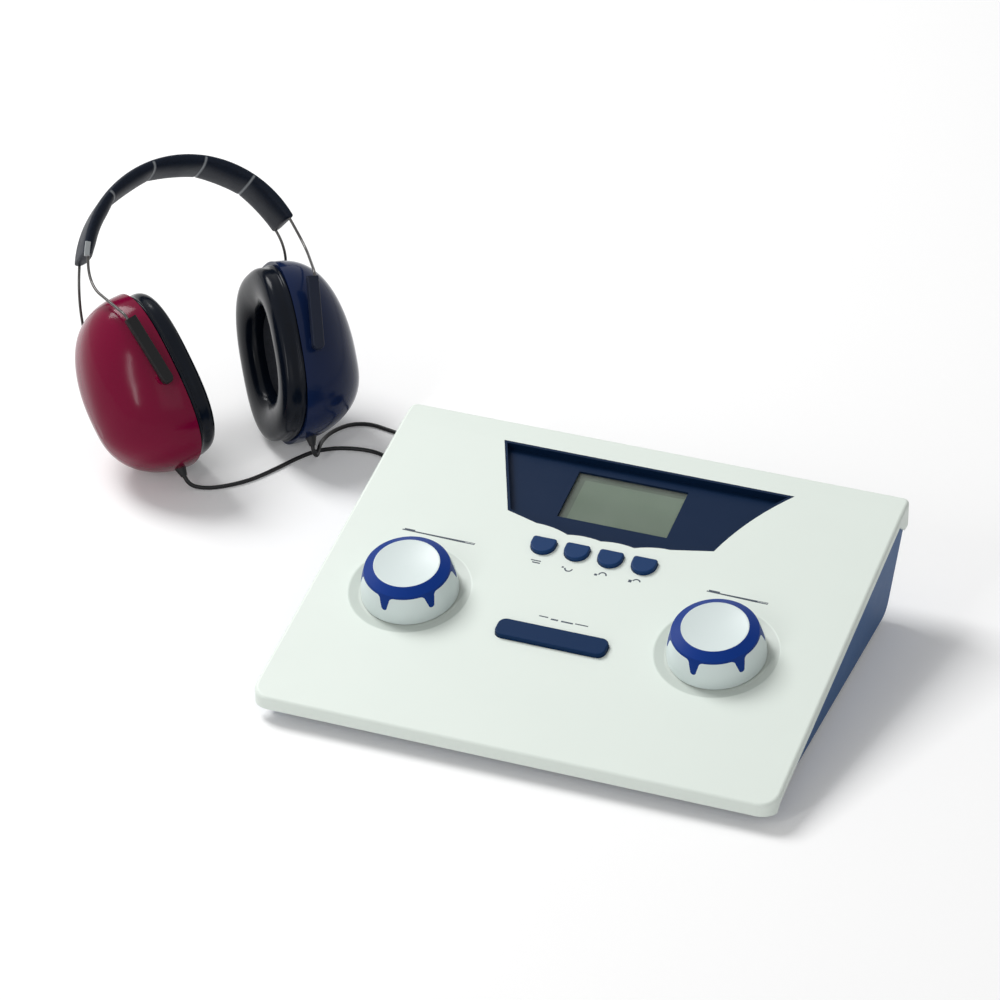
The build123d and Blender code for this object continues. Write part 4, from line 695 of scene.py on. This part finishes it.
class AUDIOMETER_OT_cushions(bpy.types.Operator):
    """Make the ring cushions of both cups and the foam inside them"""

    bl_idname = "audiometer.cushions"
    bl_label = "Ear cushions"

    def execute(self, context):
        sizes = context.scene.audiometer_sizes
        colours = context.scene.audiometer_colours
        skin = soft_vinyl("cushion_skin", tuple(colours.vinyl), 0.2)
        foam = open_foam("ear_foam", FOAM_BLACK)
        for name in CUPS:
            cushion = self.cushion(name, sizes, skin)
            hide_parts(name + "_cushion")
            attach(cushion, name + "_cup")
            disc = self.foam_disc(name, foam)
            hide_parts(name + "_ear_foam")
            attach(disc, name + "_cup")
        return {"FINISHED"}

    def cushion(self, name, sizes, skin):
        """A fat ring of vinyl round the ear opening, welded to a thin flange at the cup."""
        around = len(CUSHION_SKIN)
        deselect()
        bpy.ops.mesh.primitive_torus_add(
            major_segments=112, minor_segments=around, major_radius=1, minor_radius=0.5
        )
        piece = new_piece(name + "_ear_cushion", skin)
        held = []
        room = sizes.cushion_swell / MM * SWELL_ROOM
        for vertex in piece.data.vertices:
            angle = math.atan2(vertex.co.y, vertex.co.x)
            turn = math.atan2(vertex.co.z, math.hypot(vertex.co.x, vertex.co.y) - 1)
            reach, depth, fixed = CUSHION_SKIN[round(turn / (2 * math.pi) * around) % around]
            outer = oval_point(*CUSHION_OUTER, angle)
            inner = oval_point(*CUSHION_OPENING, angle)
            half = (outer - inner) / 2
            if fixed:
                held.append(vertex.index)
            else:
                reach *= 1 - room / half.length
                depth -= room * max(0.0, depth / CUSHION_DEPTH) ** 2
            spot = (outer + inner) / 2 + half * reach
            vertex.co = Vector((spot.x, spot.y, -depth)) * MM
        face_outwards(piece)
        swell(piece, held, CUSHION_PRESSURE, sizes.cushion_swell)
        subdivide_smooth(piece)
        return settle(piece, cup_matrix(name))

    def foam_disc(self, name, foam):
        """A crowned disc of foam on the plate."""
        deselect()
        bpy.ops.mesh.primitive_uv_sphere_add(segments=64, ring_count=24, radius=1)
        piece = new_piece(name + "_foam_disc", foam)
        for vertex in piece.data.vertices:
            angle = math.atan2(vertex.co.y, vertex.co.x)
            reach = min(1.0, math.hypot(vertex.co.x, vertex.co.y)) ** 0.8
            rim = oval_point(CUSHION_OPENING[0] - FOAM_GAP, CUSHION_OPENING[1] - FOAM_GAP, angle)
            lift = 0.0 if vertex.co.z > 0 else FOAM_CROWN * (1 - reach**6) ** 0.5
            vertex.co = Vector((rim.x * reach, rim.y * reach, -lift)) * MM
        face_outwards(piece)
        return settle(piece, cup_matrix(name))


PAD_START, PAD_END = -72.0, 75.0
PAD_STEP = 2.5
PAD_FOLD = (-1.6, -0.9, -0.45, 0.0, 0.45, 0.9, 1.6)     # cuts by a crease, in degrees
PAD_CREASES = (-36.0, -8.0, 20.0, 46.5)
PAD_LINE_RADIUS = 62.3
PAD_FLARE = math.radians(2.0)
PAD_CREASE_RADIUS = 61.0
# Half round the pad's section, from the top of its back to the middle of its
# padding: place across, height where a panel is full, and height at a crease
PAD_SKIN = (
    (0.0, 3.1, 3.1),
    (4.0, 3.1, 3.1),
    (8.0, 3.1, 3.1),
    (11.6, 3.05, 3.05),
    (13.6, 2.8, 2.8),
    (14.6, 2.1, 2.1),
    (14.95, 1.0, 1.0),
    (14.75, -0.2, -0.2),
    (14.2, -1.3, -1.1),
    (13.1, -2.4, -1.8),
    (11.4, -3.4, -2.5),
    (9.0, -4.2, -3.0),
    (6.3, -4.7, -3.3),
    (3.2, -4.9, -3.45),
    (0.0, -4.95, -3.5),
)
PAD_SEAM = 8            # last held row of PAD_SKIN; the rows after it swell
PAD_GROOVE = 5          # last row without creases
GROOVE_DEPTH = 0.4
CREASE_REACH = 0.9      # degrees from a crease to where its groove ends
PAD_SAG = 2.1           # height of the band over a panel's chord where it is full
PAD_PRESSURE = 3.0
PAD_END_HEIGHT = 1.2    # of the middle of each end
PAD_END_FLATTEN = 0.35  # how far an end's rim is drawn to that height
PAD_END_NARROW = 0.04   # and in from its sides
CLIP_ANGLE, CLIP_SPAN = -69.6, 7.6
CLIP_ACROSS, CLIP_THICKNESS = 14.35, 1.5
CLIP_HEIGHT, CLIP_DEPTH = 1.0, 3.0
CLIP_EDGE = 0.35


def band_point(angle, across, height):
    """A place on the headband: degrees from the crown, across it and out from its middle."""
    radius = PAD_LINE_RADIUS + across * math.sin(PAD_FLARE) + height * math.cos(PAD_FLARE)
    forward = across * math.cos(PAD_FLARE) - height * math.sin(PAD_FLARE)
    turn = math.radians(angle)
    return Vector((math.sin(turn) * radius, math.cos(turn) * radius, forward)) * MM


class AUDIOMETER_OT_head_pad(bpy.types.Operator):
    """Make the padded sleeve of the headband with its sewn creases, and its end clip"""

    bl_idname = "audiometer.head_pad"
    bl_label = "Head pad"

    def execute(self, context):
        sizes = context.scene.audiometer_sizes
        colours = context.scene.audiometer_colours
        skin = self.creased_vinyl(shaded(tuple(colours.vinyl), 1.7))
        deselect()
        around = 2 * (len(PAD_SKIN) - 1)
        bpy.ops.mesh.primitive_cylinder_add(
            vertices=around, radius=1, depth=2, end_fill_type="TRIFAN"
        )
        piece = new_piece("head_pad", skin)
        stations = self.stations()
        self.cut(piece, len(stations) - 2)
        held = []
        # how strongly the painted highlight along a crease shows at each point
        crease_highlight = piece.data.attributes.new("crease", "FLOAT", "POINT")
        for vertex in piece.data.vertices:
            angle = stations[round((vertex.co.z + 1) / 2 * (len(stations) - 1))]
            crease_highlight.data[vertex.index].value = self.form(vertex, angle, held)
        face_outwards(piece)
        swell(piece, held, PAD_PRESSURE, sizes.pad_swell, 12)
        subdivide_smooth(piece)
        place = axes_matrix(ACROSS, CROWN, FORWARD, HEADSET_MIDDLE)
        settle(piece, place)
        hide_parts("headband_pad")
        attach(piece, "headband")
        self.clip(place)
        return {"FINISHED"}

    def creased_vinyl(self, colour):
        """Vinyl with a painted highlight along its sewn creases."""
        paint = Paint("pad_skin", ior=1.5, specular_ior_level=0.10)
        cell = (paint.cells(520, "DISTANCE_TO_EDGE") * 9).least(1.0)
        wrinkle = paint.noise(90, 5, 0.62)
        wear_and_highlight = paint.node("Attribute", {"attribute_name": "crease"}, output="Fac")
        tone = paint.blend(cell, shaded(colour, 0.75), shaded(colour, 1.15))
        # painted highlight: the sewn creases are lightened towards pale grey, as if they caught the
        # light
        paint.set("Base Color", paint.blend(wear_and_highlight * 0.8, tone, CREASE_HIGHLIGHT_GREY))
        paint.set("Roughness", wrinkle * 0.22 + 0.36)
        return paint.bump(cell * 0.35 + wrinkle, 0.00005).material

    def stations(self):
        """Angles of the sleeve's cuts: close at its creases and ends, wider between."""
        marks = {PAD_START, PAD_END}
        for fold in PAD_FOLD:
            marks.update(crease + fold for crease in PAD_CREASES)
            marks.update((PAD_START + abs(fold), PAD_END - abs(fold)))
        marks = sorted(marks)
        for low, high in list(zip(marks, marks[1:])):
            parts = math.ceil((high - low) / PAD_STEP)
            marks += [low + (high - low) * i / parts for i in range(1, parts)]
        return sorted(marks)

    def cut(self, piece, cuts):
        """Cut the cylinder across into short stretches."""
        make_active(piece)
        bpy.ops.object.mode_set(mode="EDIT")
        bpy.ops.mesh.select_mode(type="EDGE")
        bpy.ops.mesh.select_all(action="DESELECT")
        bpy.ops.object.mode_set(mode="OBJECT")
        for edge in piece.data.edges:
            a, b = (piece.data.vertices[i].co for i in edge.vertices)
            edge.select = abs(a.z - b.z) > 1
        bpy.ops.object.mode_set(mode="EDIT")
        bpy.ops.mesh.subdivide(number_cuts=cuts)
        bpy.ops.object.mode_set(mode="OBJECT")

    def fullness(self, angle):
        """How full the padding is here: 0 at a crease or end, 1 at a flat panel's middle."""
        edges = (PAD_START, *PAD_CREASES, PAD_END)
        for low, high in zip(edges, edges[1:]):
            if angle <= high:
                half = (high - low) / 2
                off = angle - (high + low) / 2
                chord = math.cos(math.radians(half)) / math.cos(math.radians(off))
                return min(1.0, PAD_CREASE_RADIUS * (1 - chord) / PAD_SAG)
        return 0.0

    def form(self, vertex, angle, held):
        """Move one point of the cylinder to its place on the band; return how strongly its crease's
        painted highlight shows there.
        """
        near = min(abs(angle - crease) for crease in PAD_CREASES)
        from_end = min(angle - PAD_START, PAD_END - angle)
        if math.hypot(vertex.co.x, vertex.co.y) < 0.5:
            across, height, index = 0.0, PAD_END_HEIGHT, 0
        else:
            turn = math.atan2(vertex.co.x, vertex.co.y) / math.pi * (len(PAD_SKIN) - 1)
            index = abs(round(turn))
            across, full, slack = PAD_SKIN[index]
            height = slack + (full - slack) * self.fullness(angle)
            across = math.copysign(across, turn)
        inside = index > PAD_SEAM
        if index > PAD_GROOVE and near < CREASE_REACH:
            groove = GROOVE_DEPTH * (1 - near / CREASE_REACH)
            if inside:
                height += groove
            else:
                across -= math.copysign(groove, across)
        if from_end < 1.0:
            taper = (1 - from_end) ** 2
            height = PAD_END_HEIGHT + (height - PAD_END_HEIGHT) * (1 - PAD_END_FLATTEN * taper)
            across *= 1 - PAD_END_NARROW * taper
        vertex.co = band_point(angle, across, height)
        if not inside or near < CREASE_REACH or from_end < 1.5:
            held.append(vertex.index)
        return max(0.0, 1 - near / CREASE_REACH) if index > PAD_GROOVE else 0.0

    def clip(self, place):
        """A pale clip where the front wire comes out of the pad."""
        deselect()
        bpy.ops.mesh.primitive_cube_add(size=1)
        piece = new_piece("band_clip", moulded_plastic("clip_plastic", CLIP_GREY, 0.35))
        bpy.ops.object.mode_set(mode="EDIT")
        bpy.ops.mesh.subdivide(number_cuts=5)
        bpy.ops.object.mode_set(mode="OBJECT")
        for vertex in piece.data.vertices:
            x, y, z = vertex.co
            across = CLIP_ACROSS + y * CLIP_THICKNESS
            vertex.co = band_point(CLIP_ANGLE + x * CLIP_SPAN, across, CLIP_HEIGHT + z * CLIP_DEPTH)
        edge = piece.modifiers.new("edge", "BEVEL")
        edge.width = CLIP_EDGE * MM
        edge.segments = 3
        edge.limit_method = "ANGLE"
        apply_modifiers(piece)
        face_outwards(piece)
        settle(piece, place)
        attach(piece, "headband")


# ------------------------------------------------------------------ printed marks

INK_HEIGHT = 0.04
KEY_MARK_V = 131.5
TONE_MARK_V = 94.0
KNOB_MARK_RISE = 40.5
# Both ends of the rule over each knob, from the knob's middle
KNOB_RULES = ((-20.2, 21.3), (-19.2, 14.5))
TONE_BARS = ((-9.8, 0.5, 5, 0.7), (-3.6, -0.2, 4, 1.0), (3.4, -0.3, 6.5, 1.0), (11.4, 0, 7.2, 0.7))


class AUDIOMETER_OT_marks(bpy.types.Operator):
    """Print the plain marks by the keys and knobs"""

    bl_idname = "audiometer.marks"
    bl_label = "Printed marks"

    def execute(self, context):
        ink = printed_ink("panel_ink", INK)
        signs = (
            self.bars([(0, 1.0, 5.6, 0.7), (0.6, -0.5, 4.4, 0.8)]),
            self.arc(180.0, 360.0) + self.bars([(-3.4, 0.2, 1.2, 1.0)]),
            self.arc(0.0, 180.0) + self.bars([(-3.6, -0.4, 1.6, 1.4)]),
            self.arc(15.0, 165.0) + self.bars([(-3.4, 0.0, 1.8, 1.8)]),
        )
        for i, sign in enumerate(signs):
            u = CONTROL_SHIFT + (i - (BUTTON_COUNT - 1) / 2) * BUTTON_PITCH
            self.print_sign(f"key_mark_{i + 1}", sign, u, KEY_MARK_V, ink)
        self.print_sign("tone_mark", self.bars(TONE_BARS), CONTROL_SHIFT, TONE_MARK_V, ink)
        for side, u, (low, high) in zip(("left", "right"), KNOB_U, KNOB_RULES):
            middle, length = (low + high) / 2, high - low
            rule = [(middle, 0, length, 0.7), (low + 4, 0.8, 6, 0.8), (high - 3, -0.5, 5.5, 1.0)]
            self.print_sign(side + "_knob_mark", self.bars(rule), u, KNOB_V + KNOB_MARK_RISE, ink)
        return {"FINISHED"}

    def bars(self, shapes):
        """Outlines of small bars: each is x, y, length and thickness in millimetres."""
        made = []
        for x, y, length, height in shapes:
            a, b = length / 2, height / 2
            made.append([(x - a, y - b), (x + a, y - b), (x + a, y + b), (x - a, y + b)])
        return made

    def arc(self, start, end, radius=2.4, thickness=0.8):
        """Outline of part of a ring, from one angle to another."""
        count = 14
        angles = [math.radians(start + (end - start) * i / count) for i in range(count + 1)]
        outer = [(radius * math.cos(a), radius * math.sin(a)) for a in angles]
        small = radius - thickness
        inner = [(small * math.cos(a), small * math.sin(a)) for a in reversed(angles)]
        return [outer + inner]

    def print_sign(self, name, outlines, u, v, ink):
        """Fill flat outlines and give them the thickness of ink."""
        curve = bpy.data.curves.new(name, "CURVE")
        curve.dimensions = "2D"
        curve.fill_mode = "BOTH"
        curve.extrude = INK_HEIGHT / 2 * MM
        for outline in outlines:
            spline = curve.splines.new("POLY")
            spline.points.add(len(outline) - 1)
            for point, (x, y) in zip(spline.points, outline):
                point.co = (x * MM, y * MM, 0.0, 1.0)
            spline.use_cyclic_u = True
        piece = bpy.data.objects.new(name, curve)
        bpy.context.scene.collection.objects.link(piece)
        make_active(piece)
        bpy.ops.object.convert(target="MESH")
        piece = new_piece(name, ink, False)
        settle(piece, panel_matrix(u, v, INK_HEIGHT / 2))
        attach(piece, "console")


# ------------------------------------------------------------------ hard pieces


class AUDIOMETER_OT_console(bpy.types.Operator):
    """Finish the console's housing, keys, knobs, display and sockets"""

    bl_idname = "audiometer.console"
    bl_label = "Console"

    def execute(self, context):
        colours = context.scene.audiometer_colours
        paint_node(self.panel_plastic(tuple(colours.panel)), "top_cover")
        case = moulded_plastic("case_plastic", tuple(colours.case), 0.5, shine=0.1)
        paint_node(case, "lower_case")
        bezel = moulded_plastic("bezel_plastic", tuple(colours.bezel), 0.34, shine=0.1)
        paint_node(bezel, "display_bezel")
        paint_node(display_face("display_glass", tuple(colours.display)), "lcd_module")
        paint_node(clear_pane("window_pane"), "display_window")
        paint_node(circuit_board("board_lacquer"), "control_board", "main_board")
        knob = moulded_plastic("knob_plastic", tuple(colours.knob), 0.34, 0.00001, mottle=0.015)
        paint_node(knob, "left_knob_shell", "right_knob_shell", "left_knob_disc", "right_knob_disc")
        grip = moulded_plastic("grip_plastic", tuple(colours.grip), 0.42, mottle=0.06, shine=0.15)
        paint_node(grip, "left_knob_grip", "right_knob_grip")
        button = moulded_plastic("button_plastic", tuple(colours.button), 0.42, shine=0.15)
        paint_node(button, *[f"button_{i + 1}" for i in range(BUTTON_COUNT)])
        bar = moulded_plastic("bar_plastic", tuple(colours.bar), 0.42, shine=0.1)
        paint_node(bar, "tone_bar")
        black = moulded_plastic("black_plastic", PLASTIC_BLACK, 0.45, shine=0.3)
        paint_node(
            black, "key_switches", "left_encoder", "right_encoder", "red_jack", "blue_jack",
            "response_jack", "power_inlet", "power_switch_frame", "power_switch_rocker",
            "red_plug", "blue_plug",
        )
        paint_node(cord_rubber("foot_rubber", FOOT_BLACK), "feet")
        steel = brushed_metal("plain_steel", PLAIN_STEEL, 0.4)
        paint_node(steel, "case_screws", "board_screws")
        paint_node(steel, "left_encoder_shaft", "right_encoder_shaft")
        return {"FINISHED"}

    def panel_plastic(self, colour):
        """Sparked plastic, with a greyer ring of painted shade in the dish round each knob."""
        paint = Paint("panel_plastic", ior=1.45)
        flow = paint.noise(14, 3, 0.55)
        plain = paint.blend(flow, shaded(colour, 0.98), shaded(colour, 1.02))
        # painted shade: a disc round each knob is darkened, standing in for the shade in the dish
        # the knob sits in
        dish = 0.0
        for u in KNOB_U:
            middle = panel_matrix(u, KNOB_V).translation
            ends = {0: paint.place(), 1: middle}
            off = paint.node("VectorMath", {"operation": "DISTANCE"}, ends, "Value")
            dish = (1.0 - (off - DISH_SHADE_RADIUS) * DISH_SHARPNESS).least(1.0).most(0.0) + dish
        paint.set("Base Color", paint.blend(dish, plain, shaded(colour, DISH_SHADE)))
        wear_and_highlight = paint.noise(60, 4, 0.6)
        paint.set("Roughness", wear_and_highlight * 0.16 + 0.38)
        return paint.bump(paint.noise(2600, 2, 0.7), 0.00003).material


class AUDIOMETER_OT_headset(bpy.types.Operator):
    """Finish the headset's cups, guides, wires and strain reliefs"""

    bl_idname = "audiometer.headset"
    bl_label = "Headset"

    def execute(self, context):
        colours = context.scene.audiometer_colours
        for name in CUPS:
            shade = tuple(getattr(colours, name + "_cup"))
            gloss = moulded_plastic(name + "_cup_gloss", shade, 0.16, 0.000006, 700, 0.08, 0.14)
            paint_node(gloss, name + "_cup_shell")
        for name in CUPS:
            black = moulded_plastic(name + "_guide_plastic", GUIDE_COLOURS[name], 0.36, shine=0.15)
            paint_node(black, name + "_guides", name + "_cup_plate", name + "_receiver")
            paint_node(black, name + "_pivot_pins")
            paint_node(cord_rubber(name + "_relief_rubber", RUBBER_BLACK), name + "_lead_relief")
        paint_node(brushed_metal("spring_wire", DARK_STEEL, 0.3), "headband_wires")
        return {"FINISHED"}


# ------------------------------------------------------------------ stage

FLOOR_SIZE = 12
FLOOR_GLOW = 0.10       # shows to the camera and in reflections only
SKY_STRENGTH = 0.34     # as light only: the camera and reflections see it white
# Soft lights: name, place, width and height in metres, and watts
LIGHTS = (
    ("key_light", (-1.7, 0.6, 2.3), (1.1, 1.3), 67),
    ("fill_light", (1.1, -1.7, 1.2), (1.4, 1.0), 3.5),
    ("strip_light", (-0.5, -1.6, 0.9), (0.12, 0.9), 6),
)
LIGHT_AIM = Vector((0, 0, 0.05))
CAMERA_PLACE = (676.5, -1870.2, 1297.8)
CAMERA_FORWARD = Vector((-0.3091, 0.7986, -0.5164)).normalized()
CAMERA_LENS = 162.0
CAMERA_SENSOR = 36.0


class AUDIOMETER_OT_stage(bpy.types.Operator):
    """Lay the pale floor, hang the soft lights and set up the camera"""

    bl_idname = "audiometer.stage"
    bl_label = "Stage"

    def execute(self, context):
        self.floor()
        for light in LIGHTS:
            self.area(*light)
        self.sky(context.scene)
        self.camera(context.scene)
        context.scene.view_settings.view_transform = "Standard"
        return {"FINISHED"}

    def floor(self):
        deselect()
        bpy.ops.mesh.primitive_plane_add(size=FLOOR_SIZE, location=(0, 0, 0))
        floor = bpy.context.active_object
        floor.name = "floor"
        paint = Paint("floor_paper", roughness=0.9, specular_ior_level=0.1)
        cloud = paint.noise(3, 2)
        paint.set("Base Color", paint.blend(cloud, *FLOOR_COLOURS))
        seen = 0.0
        for ray in ("Is Camera Ray", "Is Glossy Ray", "Is Transmission Ray"):
            seen = paint.node("LightPath", output=ray) + seen
        strength = seen.least(1.0) * FLOOR_GLOW
        glow = paint.node("Emission", inputs={"Color": (1, 1, 1), "Strength": strength})
        lit = Value(paint, paint.shader.outputs[0])
        both = paint.node("AddShader", inputs={0: lit, 1: glow})
        target = paint.tree.nodes["Material Output"].inputs["Surface"]
        paint.tree.links.new(both.socket, target)
        floor.data.materials.append(paint.material)

    def area(self, name, place, size, power):
        light = bpy.data.lights.new(name, "AREA")
        light.shape = "RECTANGLE"
        light.size, light.size_y = size
        light.energy = power
        lamp = bpy.data.objects.new(name, light)
        bpy.context.scene.collection.objects.link(lamp)
        lamp.location = place
        lamp.rotation_mode = "QUATERNION"
        lamp.rotation_quaternion = (LIGHT_AIM - Vector(place)).to_track_quat("-Z", "Y")

    def sky(self, scene):
        world = bpy.data.worlds.new("studio")
        world.use_nodes = True
        scene.world = world
        tree = world.node_tree
        plain = tree.nodes["Background"]
        plain.inputs["Color"].default_value = (1, 1, 1, 1)
        plain.inputs["Strength"].default_value = SKY_STRENGTH
        white = tree.nodes.new("ShaderNodeBackground")
        white.inputs["Color"].default_value = (1, 1, 1, 1)
        white.inputs["Strength"].default_value = 1.0
        rays = tree.nodes.new("ShaderNodeLightPath")
        seen = rays.outputs["Is Camera Ray"]
        for name in ("Is Glossy Ray", "Is Transmission Ray"):
            either = tree.nodes.new("ShaderNodeMath")
            either.operation = "MAXIMUM"
            tree.links.new(seen, either.inputs[0])
            tree.links.new(rays.outputs[name], either.inputs[1])
            seen = either.outputs[0]
        mix = tree.nodes.new("ShaderNodeMixShader")
        tree.links.new(seen, mix.inputs[0])
        tree.links.new(plain.outputs[0], mix.inputs[1])
        tree.links.new(white.outputs[0], mix.inputs[2])
        tree.links.new(mix.outputs[0], tree.nodes["World Output"].inputs["Surface"])

    def camera(self, scene):
        view = bpy.data.cameras.new("camera")
        view.lens = CAMERA_LENS
        view.sensor_width = CAMERA_SENSOR
        view.clip_end = 20
        camera = bpy.data.objects.new("camera", view)
        scene.collection.objects.link(camera)
        right = CAMERA_FORWARD.cross(Vector((0, 0, 1))).normalized()
        up = right.cross(CAMERA_FORWARD)
        camera.matrix_world = axes_matrix(right, up, -CAMERA_FORWARD, console_point(CAMERA_PLACE))
        scene.camera = camera


# ------------------------------------------------------------------ add-on

OPERATORS = (
    AUDIOMETER_OT_stage,
    AUDIOMETER_OT_leads,
    AUDIOMETER_OT_console,
    AUDIOMETER_OT_headset,
    AUDIOMETER_OT_cushions,
    AUDIOMETER_OT_head_pad,
    AUDIOMETER_OT_marks,
)


class AUDIOMETER_PT_build(bpy.types.Panel):
    """Buttons and settings for dressing the audiometer"""

    bl_idname = "AUDIOMETER_PT_build"
    bl_label = "Audiometer"
    bl_space_type = "VIEW_3D"
    bl_region_type = "UI"
    bl_category = "Audiometer"

    def draw(self, context):
        layout = self.layout
        for operator in OPERATORS:
            layout.operator(operator.bl_idname)
        for group in (context.scene.audiometer_colours, context.scene.audiometer_sizes):
            box = layout.box()
            for name in group.bl_rna.properties.keys():
                if name not in ("rna_type", "name"):
                    box.prop(group, name)


CLASSES = (AudiometerColours, AudiometerSizes, *OPERATORS, AUDIOMETER_PT_build)


def register():
    for cls in CLASSES:
        bpy.utils.register_class(cls)
    bpy.types.Scene.audiometer_colours = bpy.props.PointerProperty(type=AudiometerColours)
    bpy.types.Scene.audiometer_sizes = bpy.props.PointerProperty(type=AudiometerSizes)


def unregister():
    del bpy.types.Scene.audiometer_colours
    del bpy.types.Scene.audiometer_sizes
    for cls in reversed(CLASSES):
        bpy.utils.unregister_class(cls)


def main():
    register()
    bpy.ops.audiometer.stage()
    bpy.ops.audiometer.leads()
    bpy.ops.audiometer.console()
    bpy.ops.audiometer.headset()
    bpy.ops.audiometer.cushions()
    bpy.ops.audiometer.head_pad()
    bpy.ops.audiometer.marks()


if __name__ == "__main__":
    main()
